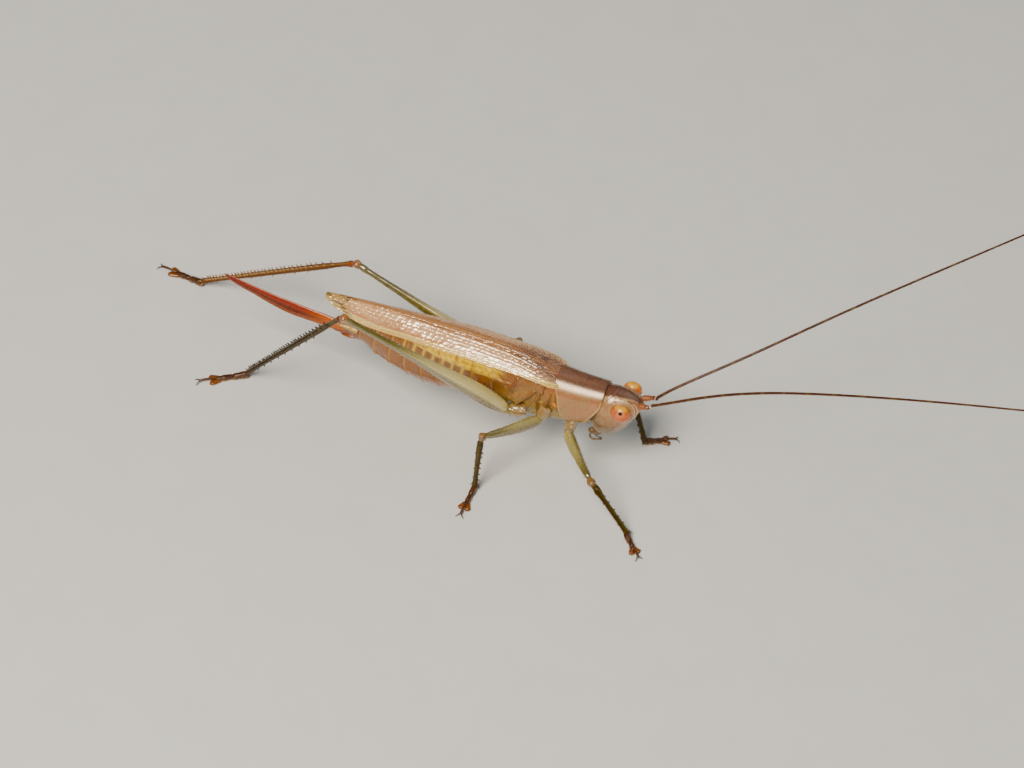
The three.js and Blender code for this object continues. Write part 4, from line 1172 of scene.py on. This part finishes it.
# in both looks the stripe layer is painted shade in the lengthwise channels
shinLooks = {
    "dark": cuticle(
        "toughShinCuticle", 0x413402,
        [("stripe", 0x201402, 0.75), ("edge", 0x6D5707, 0.4), ("head", 0x6A2702, 0.8), ("end", 0x543202, 0.6),
         ("ear", 0x160D05, 0.9), ("thorn", 0x261604, 0.8), ("thornTip", 0x0B0502, 0.9)],
        [(0x322302, 0.2, 0.5)], shinShine,
        [("TexNoise", 0.04, 0.008)], 0.06),
    "pale": cuticle(
        "paleShinCuticle", 0x744B22,
        [("stripe", 0x43250C, 0.6), ("edge", 0x987636, 0.4), ("head", 0x823209, 0.8), ("end", 0x5F360F, 0.6),
         ("ear", 0x1C1108, 0.9), ("thorn", 0xC09B69, 0.7), ("thornTip", 0x795529, 0.6)],
        [(0x573419, 0.2, 0.5)], shinShine,
        [("TexNoise", 0.04, 0.008)], 0.06),
}
# smooth horn with soft amber lobes under it
footHorn = cuticle(
    "glossyFootHorn", 0x412102,
    [("lobe", 0x7F4604, 0.85), ("pad", 0xA98925, 0.7), ("slim", 0x5B3507, 0.5), ("claw", 0x1C0E05, 0.85)],
    [(0x341802, 0.12, 0.5), (0x824B0E, 0.2, 0.4)],
    shine(0.35, 0.5, 0.08, 0.12, 0.15, level=0.3), [("TexNoise", 0.05, 0.008)], 0.05)

legs = [pair + "_" + side for pair in ("front", "middle", "hind") for side in ("right", "left")]
for name in legs:
    hip, knee, ankle, toe = legJoints(name)
    thigh, shin = unit(knee - hip), unit(ankle - knee)
    up = unit(thigh - shin)
    hipPoints, hipFields = hipPiece(name, hip, thigh)
    Shape().skin(hipPoints, **hipFields).piece("hip_" + name, thighCuticle, ["coxa_" + name], "body")
    thighPoints, thighFields = thighSkin(name, hip, knee, up)
    Shape().skin(thighPoints, **thighFields).piece("thigh_" + name, thighCuticle, ["femur_" + name], "femur")
    look = shinLooks["pale" if name == "hind_left" else "dark"]
    shinShape(name, knee, ankle, up).piece("shin_" + name, look, ["tibia_" + name], "tibia")
    footShape(name, ankle, toe).piece("foot_" + name, footHorn, ["tarsus_" + name], "tarsus")
print("legs made")


def blob(centre, size, tilt=0.0, n=44, m=44, square=1.0):
    # an egg shape in the body's axes, tilted nose-down by some degrees
    alpha = np.linspace(0.03, math.pi - 0.03, n)[:, None]
    phi = turnsAround(m)
    c, s = signedPower(np.cos(phi), square), signedPower(np.sin(phi), square)
    x = (np.cos(alpha) + 0 * phi) * size[0]
    y, z = np.sin(alpha) * c * size[1], np.sin(alpha) * s * size[2]
    turn = math.radians(tilt)
    c, s = math.cos(turn), math.sin(turn)
    return np.stack([x * c + z * s, y, z * c - x * s], -1) + np.array(centre)


def curveThrough(knots, n):
    # Catmull-Rom curve through a short list of places
    return throughPoints(np.array(knots, float)[None], np.linspace(0, 1, n))[0]


# Mouth: a lip plate in front, a jaw on each side, a lower lip and two pairs of jointed palps
mouth = {
    "palp": [(2.0, 0.4, -1.9), (1.82, 0.56, -2.16), (1.95, 0.64, -2.34), (2.2, 0.6, -2.36),
             (2.53, 0.5, -2.24)],
    "lowPalp": [(2.05, 0.2, -2.05), (2.02, 0.3, -2.26), (2.2, 0.32, -2.4), (2.42, 0.28, -2.42)],
    "palpThick": 0.105, "lowPalpThick": 0.085, "palpGrid": (90, 28),
    # centre, half sizes, tilt in degrees
    "lip": ((2.42, 0, -1.98), (0.15, 0.36, 0.28), 38), "lowLip": ((2.0, 0, -2.0), (0.24, 0.32, 0.18), 10),
    "jaw": ((2.14, 0.42, -1.8), (0.32, 0.22, 0.32), 25),
    "maxilla": ((1.9, 0.56, -1.86), (0.22, 0.14, 0.2), 20),
}


def palpSkin(knots, side, thick):
    # a thin tube through the knots, swollen between its joints, with a small dark knob at its end
    count, around = mouth["palpGrid"]
    t = np.linspace(0, 1, count)
    path = curveThrough(np.array(knots) * [1, side, 1], count)
    joints = (len(knots) - 1) * t % 1
    swell = 0.78 + 0.3 * np.sin(math.pi * joints) ** 0.6 + 0.35 * bump(t, 0.95, 0.06)
    size = thick * swell * roundEnds(t, 0, 0.05)
    points = fromBody(tube(path, [1.0, 0.1, 0.3], size, size, around))
    ring = bump(joints, 0.0, 0.08) + bump(joints, 1.0, 0.08)
    return points, {"knob": smoothStep(0.84, 0.95, t)[:, None], "ring": ring[:, None]}


def sideBlob(part, side):
    centre, size, tilt = mouth[part]
    return blob(np.array(centre) * [1, side, 1], size, tilt)


# thinner, darker shell round the jaws, satin
mouthCuticle = cuticle(
    "mouthCuticle", 0x6E4D1B,
    [("olive", 0x4F480D, 0.6), ("jaw", 0x3C1602, 0.8), ("ring", 0x3A2706, 0.5), ("knob", 0x1C0E04, 0.92)],
    [(0x52350E, 0.12, 0.5)], shine(0.32, 0.45, 0.12, 0.2, 0.2),
    [("TexNoise", 0.04, 0.008)], 0.05)
mouthShape = Shape()
mouthShape.skin(fromBody(blob(*mouth["lip"], square=0.85)), olive=0.3)
mouthShape.skin(fromBody(blob(*mouth["lowLip"])), olive=0.8)
for side in (-1, 1):
    jaw = sideBlob("jaw", side)
    mouthShape.skin(fromBody(jaw), jaw=smoothStep(-1.9, -2.15, jaw[..., 2]))
    mouthShape.skin(fromBody(sideBlob("maxilla", side)), olive=0.5)
    points, fields = palpSkin(mouth["lowPalp"], side, mouth["lowPalpThick"])
    mouthShape.skin(points, olive=0.7, **fields)
mouthShape.piece("mouth_shell", mouthCuticle, ["mouthparts"], "head")
for label, side in bothSides:
    points, fields = palpSkin(mouth["palp"], side, mouth["palpThick"])
    palp = Shape().skin(points, olive=0.8, **fields)
    palp.piece("palp_skin_" + label, mouthCuticle, ["palp_" + label], "femur")
print("mouth made")


# thickness at both ends, swellings along the thread, degree of its curve; places on the base's middle line
feeler = {"baseThick": 0.17, "tipThick": 0.035, "ringGap": 0.13, "ringSwell": 0.05, "degree": 9,
          "grid": (2000, 12),
          "socket": (4.2, 0.33, 0.93), "sleeve": (4.5, 0.375, 1.05), "bead": (4.72, 0.41, 1.14),
          "collarAt": {"left": 0.93, "right": 0.8}, "baseGrid": (130, 48)}
# profile of the base: share of the way to the collar, thickness
feelerProfile = ([0, 0.09, 0.33, 0.5, 0.55, 0.6, 0.74, 0.88, 0.93, 1, 1.08, 1.3],
                 [0.3, 0.35, 0.33, 0.29, 0.2, 0.23, 0.27, 0.22, 0.18, 0.21, 0.17, 0.17])


def feelerBase(label, side, end):
    # a stout sleeve, a waist, a bead and a pale collar, as one profile along a short path
    knots = [fromBody(np.array(feeler[key]) * [1, side, 1]) for key in ("socket", "sleeve", "bead")] + [end]
    count, around = feeler["baseGrid"]
    t = np.linspace(0, 1, count)
    path = curveThrough(knots, count)
    at = feeler["collarAt"][label]
    share, thick = feelerProfile
    size = smoothed(np.interp(t, np.array(share) * at, thick))
    points = tube(path, [0, 0, 1.0], size, size, around)
    points = points + gridNormals(points) * (0.006 * waves(points, 0.12, 51))[..., None]
    return points, {"collar": bump(t, at, 0.03)[:, None], "waist": bump(t, 0.55 * at, 0.03)[:, None],
                    "sleeve": smoothStep(0.9, 0.8, t / at)[:, None]}


def feelerSkin(label, start):
    # centre line: one polynomial fitted to the three CAD lengths; many little swellings, finer to the tip
    cloud = np.vstack([nodePoints(f"flagellum_{label}_{k}") for k in (1, 2, 3)])
    axis = np.linalg.svd(cloud - cloud.mean(0))[2][0]
    axis = axis * np.sign(axis @ (cloud.mean(0) - start))
    # the start is counted many times, so that the curve leaves from it
    held = 40
    run = np.append((cloud - start) @ axis, np.zeros(held))
    cloud = np.vstack([cloud, np.repeat(start[None], held, axis=0)])
    count, around = feeler["grid"]
    place = np.linspace(0, run.max() - 0.02, count)
    curves = [np.polynomial.Polynomial.fit(run, cloud[:, k], feeler["degree"]) for k in range(3)]
    path = np.stack([curve(place) for curve in curves], -1)
    t = np.linspace(0, 1, len(place))
    thick = feeler["tipThick"] + (feeler["baseThick"] - feeler["tipThick"]) * (1 - t) ** 0.85
    rings = place / feeler["ringGap"] / (0.75 + 1.1 * t)
    swell = 1 + feeler["ringSwell"] * (np.abs(np.sin(math.pi * rings)) - 0.6)
    size = thick * swell * roundEnds(t, 0, 0.002)
    points = tube(path, [0, 0, 1.0], size, size, around)
    return points, {"ring": (bump(rings % 1, 0, 0.16) + bump(rings % 1, 1, 0.16))[:, None],
                    "root": smoothStep(0.12, 0, t)[:, None], "band": bump(rings / 9 % 1, 0.5, 0.09)[:, None]}


# jointed thread of hard brown cuticle, a little glossy, paler where the joints are
feelerCuticle = cuticle(
    "jointedFeelerCuticle", 0x482002,
    [("root", 0x5A3206, 0.6), ("sleeve", 0xA05D35, 0.8), ("ring", 0x260F02, 0.55), ("band", 0x756227, 0.45),
     ("waist", 0x4D1808, 0.7), ("collar", 0xEDDABD, 0.95)],
    [(0x551E07, 0.1, 0.4)], shine(0.32, 0.2, 0.15, 0.12, 0.12, level=0.3),
    [("TexNoise", 0.03, 0.006)], 0.05)
for label, side in bothSides:
    end = endOf("antenna_base_" + label, boxCentre(f"flagellum_{label}_1"))
    points, fields = feelerBase(label, side, end)
    socket = Shape().skin(points, **fields)
    socket.piece("feeler_base_" + label, feelerCuticle, ["antenna_base_" + label], "feeler")
    points, fields = feelerSkin(label, end)
    nodes = [f"flagellum_{label}_{k}" for k in (1, 2, 3)]
    Shape().skin(points, **fields).piece("feeler_" + label, feelerCuticle, nodes, "feeler")
print("feelers made")


# Egg-laying blade: x, upper edge, lower edge, width
bladeShape = [(-12.3, -0.96, -1.44, 0.3), (-12.95, -0.82, -1.48, 0.44), (-14.0, -0.64, -1.46, 0.36),
              (-15.2, -0.58, -1.47, 0.3), (-16.3, -0.5, -1.46, 0.28), (-17.4, -0.43, -1.24, 0.25),
              (-18.45, -0.31, -0.93, 0.21), (-19.0, -0.25, -0.79, 0.18), (-19.55, -0.19, -0.62, 0.14),
              (-20.0, -0.14, -0.42, 0.09), (-20.3, -0.1, -0.16, 0.04)]
blade = {"start": -12.3, "tip": -20.3, "tooth": 0.0165, "toothGap": 0.11, "groove": 0.028, "grid": (440, 84)}


def bladeSkin():
    # a flat sword of two halves: an oval section between its upper and lower edges, grooved along each side
    n, m = blade["grid"]
    x = np.linspace(blade["start"], blade["tip"], n)
    t = (x - blade["start"]) / (blade["tip"] - blade["start"])
    high, low, width = rows(bladeShape, x)
    path = np.stack([x, 0 * x, (high + low) / 2], -1)
    points = tube(path, [0, 0, 1.0], high - low, width, m)
    s, tt = np.sin(turnsAround(m)), t[:, None]
    normals = outwardNormals(points, path[:, None])
    # the grooves are dented and also painted darker, as painted shade
    groove = bump(s, -0.72, 0.05) * smoothStep(0.98, 0.85, tt)
    groove = groove + 0.5 * bump(s, 0.3, 0.05) * smoothStep(0.85, 0.65, tt)
    saw = (x[:, None] / blade["toothGap"] % 1) * smoothStep(0.8, 0.88, tt) * smoothStep(1.0, 0.97, tt)
    push = -blade["groove"] * groove * np.minimum(1, width[:, None] / 0.2)
    push = push + blade["tooth"] * saw * (bump(s, -1, 0.1) + 0.5 * bump(s, 1, 0.1))
    push = push + 0.0015 * waves(points, 0.3, 61)
    points = points + normals * push[..., None]
    streak = bump(s, 0.08 + 0.04 * np.sin(9 * tt), 0.3) * smoothStep(0.1, 0.3, tt)
    # painted highlight: the high field paints a thin pale band along the upper edge
    return fromBody(points), {
        "groove": groove, "low": smoothStep(-0.2, -0.5, s), "high": smoothStep(0.86, 0.96, s),
        "middle": streak, "red": smoothStep(0.35, 0.6, s) * smoothStep(0.1, 0.4, tt),
        "tip": smoothStep(0.72, 1.0, tt), "base": smoothStep(0.46, 0.08, tt)}


# polished horn, like tortoiseshell: orange-red above, a dark streak along the middle, and light showing
# through the thin lower edge; the grooves carry painted shade and the upper edge a painted highlight
bladeHorn = cuticle(
    "polishedBladeHorn", 0x8C3A0E,
    [("low", 0x91490D, 0.85), ("middle", 0x4E1604, 0.85), ("red", 0x841B02, 0.85), ("groove", 0x40120A, 0.6),
     ("tip", 0x6B1104, 0.6), ("base", 0xBA5F02, 0.9), ("high", 0xB56E50, 0.6)],
    [(0x74260A, 0.5, 0.35)], shine(0.3, 0.22, 0.06, 0.1, 0.2, level=0.2),
    [("TexNoise", 0.08, 0.006)], 0.05)
bladePoints, bladeFields = bladeSkin()
Shape().skin(bladePoints, **bladeFields).piece("blade", bladeHorn, ["ovipositor"], "ovipositor")

# plates round the root of the blade: centre, half sizes, tilt; then the two tail feelers
tailPlates = [((-12.66, 0, -1.46), (0.6, 0.26, 0.14), -6), ((-13.1, 0.12, -1.2), (0.62, 0.12, 0.2), -9),
              ((-13.1, -0.12, -1.2), (0.62, 0.12, 0.2), -9), ((-12.7, 0, -0.5), (0.4, 0.3, 0.2), 20)]
plateShape = Shape()
for centre, size, tilt in tailPlates:
    plate = blob(centre, size, tilt, 60, 60)
    plateShape.skin(fromBody(plate), tail=1.0, shade=0.7 * smoothStep(-12.6, -13.3, plate[..., 0]),
                    band=bump(plate[..., 2], centre[2] + size[2] * 0.9, 0.06))
plateShape.piece("tail_plates", bellyCuticle, [], "body")
tailFeeler = {"inside": 0.35, "bow": 0.05, "grid": (110, 48),
              "profile": ([0, 0.25, 0.6, 0.85, 1], [0.3, 0.32, 0.24, 0.14, 0.03])}
for label, side in bothSides:
    name = "cercus_" + label
    inner = endOf(name, fromBody(np.array([-11.0, 0, -0.6])))
    outer = endOf(name, fromBody(np.array([-16.0, 0.6 * side, -0.4])))
    inner = inner + (inner - outer) * tailFeeler["inside"]
    t = np.linspace(0, 1, tailFeeler["grid"][0])
    inward = fromBody(np.array([0.0, -side, 0.0])) - fromBody(np.zeros(3))
    bow = tailFeeler["bow"] * np.sin(math.pi * t) - 0.02 * t
    path = inner + (outer - inner) * t[:, None] + inward * bow[:, None]
    size = np.interp(t, *tailFeeler["profile"])
    points = tube(path, [0, 0, 1.0], size, size, tailFeeler["grid"][1])
    thread = Shape().skin(points, longLine=(0.75 - 0.3 * t)[:, None])
    thread.piece("tail_feeler_" + label, bellyCuticle, [name], "body")
print("tail made")


# Fine bristles: each is a three-sided curved cone rooted on a skin
bristle = {"rings": 4, "sides": 3, "bend": 0.3, "stray": 0.14, "sunk": 0.012, "taper": 0.93,
           "patch": 0.003, "tiles": 6}  # size of each one's place on the bake map, tiles across the map


def bristleCoat(name, beds, material, seed):
    # beds: points, weight over the grid, how many, length, how far they stand up, thickness, darkness;
    # roots are drawn by area times weight, and a curve leaves along the normal and bends along the rows
    rings, sides = bristle["rings"], bristle["sides"]
    draw = np.random.default_rng(seed)
    verts, uvs, shades, count = [], [], [], 0
    for tile, (points, weight, total, reach, stand, thick, dark) in enumerate(beds):
        n, m = points.shape[:2]
        along, around = gridSlopes(points)
        cross = np.cross(around, along)
        area = np.linalg.norm(cross, axis=-1)
        normal = unit(cross)
        normal = normal * np.sign(np.sum(normal * (points - points.mean(1, keepdims=True)), -1).mean())
        odds = (area * np.broadcast_to(weight, (n, m))).ravel()
        pick = draw.choice(n * m, size=total, p=odds / odds.sum())
        root, up = points.reshape(-1, 3)[pick], normal.reshape(-1, 3)[pick]
        lie = unit(along.reshape(-1, 3)[pick])
        length = reach * draw.uniform(0.6, 1.15, total)[:, None]
        aim = unit(up * stand + lie * (1 - stand) + draw.normal(0, bristle["stray"], (total, 3)))
        ring = np.linspace(0, 1, rings)
        curve = (root - up * bristle["sunk"])[:, None] + aim[:, None] * (length * ring)[..., None]
        curve = curve + lie[:, None] * (length * bristle["bend"] * ring ** 2)[..., None]
        side = unit(np.cross(aim, up + 0.01))
        other = np.cross(aim, side)
        spin = turnsAround(sides)[0]
        size = thick / 2 * (1 - ring * bristle["taper"])
        shape = (side[:, None, None] * np.cos(spin)[None, None, :, None]
                 + other[:, None, None] * np.sin(spin)[None, None, :, None])
        verts.append((curve[:, :, None] + shape * size[None, :, None, None]).reshape(-1, 3))
        column, row = tile % bristle["tiles"], tile // bristle["tiles"]
        place = np.stack([(pick // m) / n, (pick % m) / m], -1) * 0.9 + 0.05
        corner = (np.array([column, row]) + place) / bristle["tiles"]
        step = np.stack(np.meshgrid(ring, np.arange(sides) / sides, indexing="ij"), -1) * bristle["patch"]
        uvs.append((corner[:, None, None] + step[None]).reshape(-1, 2))
        shades.append(np.full(total * rings * sides, dark))
        count += total
    perHair = rings * sides
    k, j = np.meshgrid(np.arange(rings - 1) * sides, np.arange(sides), indexing="ij")
    after = (j + 1) % sides
    quads = np.stack([k + j, k + after, k + sides + after, k + sides + j], -1).reshape(-1, 4)
    caps = np.array([[0, 2, 1], [perHair - 3, perHair - 2, perHair - 1]])
    starts = (np.arange(count) * perHair)[:, None, None]
    quads = (quads[None] + starts).reshape(-1, 4)
    tris = (caps[None] + starts).reshape(-1, 3)
    mesh, corners = buildMesh(name, np.vstack(verts), quads, tris, {"dark": np.concatenate(shades)}, material)
    bakeMap = mesh.uv_layers.new(name="OFBake")
    bakeMap.data.foreach_set("uv", np.vstack(uvs)[corners].astype(np.float32).ravel())
    return install(bpy.data.objects.new(name, mesh), [])


# stiff translucent bristle: a pale golden thread where light comes through, brown on the feelers
bristleChitin = cuticle("bristleChitin", 0xCEB17C, [("dark", 0x462613, 1.0)], [],
                        {"Roughness": 0.4, "Subsurface Weight": 0.2, "Subsurface Scale": 0.05 * mm})

legBeds, feelerBeds, bodyBeds = [], [], []
for name in legs:
    hind = name.startswith("hind")
    legBeds.append((grids["thigh_" + name], 1.0, 420 if hind else 260, 0.15, 0.55, 0.015, 0.0))
    legBeds.append((grids["shin_" + name], 1.0, 240 if hind else 160, 0.13, 0.55, 0.014, 0.9))
    legBeds.append((grids["foot_" + name], 1.0, 50, 0.09, 0.6, 0.013, 0.3))
rowsAlong = np.linspace(0, 1, grids["trunk_skin"].shape[0])[:, None]
rimAcross = smoothStep(0.75, 0.95, np.abs(np.linspace(-1.26, 1.26, grids["saddle_plate"].shape[1])))[None]
bodyBeds.append((grids["head_shell"], 1.0, 260, 0.075, 0.6, 0.011, 0.1))
bodyBeds.append((grids["saddle_plate"], 0.02 + rimAcross, 80, 0.08, 0.5, 0.011, 0.1))
bodyBeds.append((grids["trunk_skin"], 0.2 + 4 * smoothStep(0.78, 1.0, rowsAlong), 380, 0.1, 0.45, 0.01, 0.25))
for label in ("left", "right"):
    ring = np.linspace(0, 1, grids["wing_skin_" + label].shape[1])[None]
    edges = bump(ring, 0.0, 0.08) + bump(ring, 0.84, 0.05) + 0.15 * (ring < 0.84)
    bodyBeds.append((grids["wing_skin_" + label], edges, 380, 0.1, 0.4, 0.011, 0.05))
    bodyBeds.append((grids["tail_feeler_" + label], 1.0, 80, 0.26, 0.75, 0.013, 0.2))
    feelerBeds.append((grids["feeler_" + label], 1.0, 1500, 0.08, 0.55, 0.01, 0.8))
    feelerBeds.append((grids["feeler_base_" + label], 1.0, 60, 0.08, 0.7, 0.011, 0.2))
bristleCoat("bristles_legs", legBeds, bristleChitin, 101)
bristleCoat("bristles_body", bodyBeds, bristleChitin, 102)
bristleCoat("bristles_feelers", feelerBeds, bristleChitin, 103)
print("bristles made")
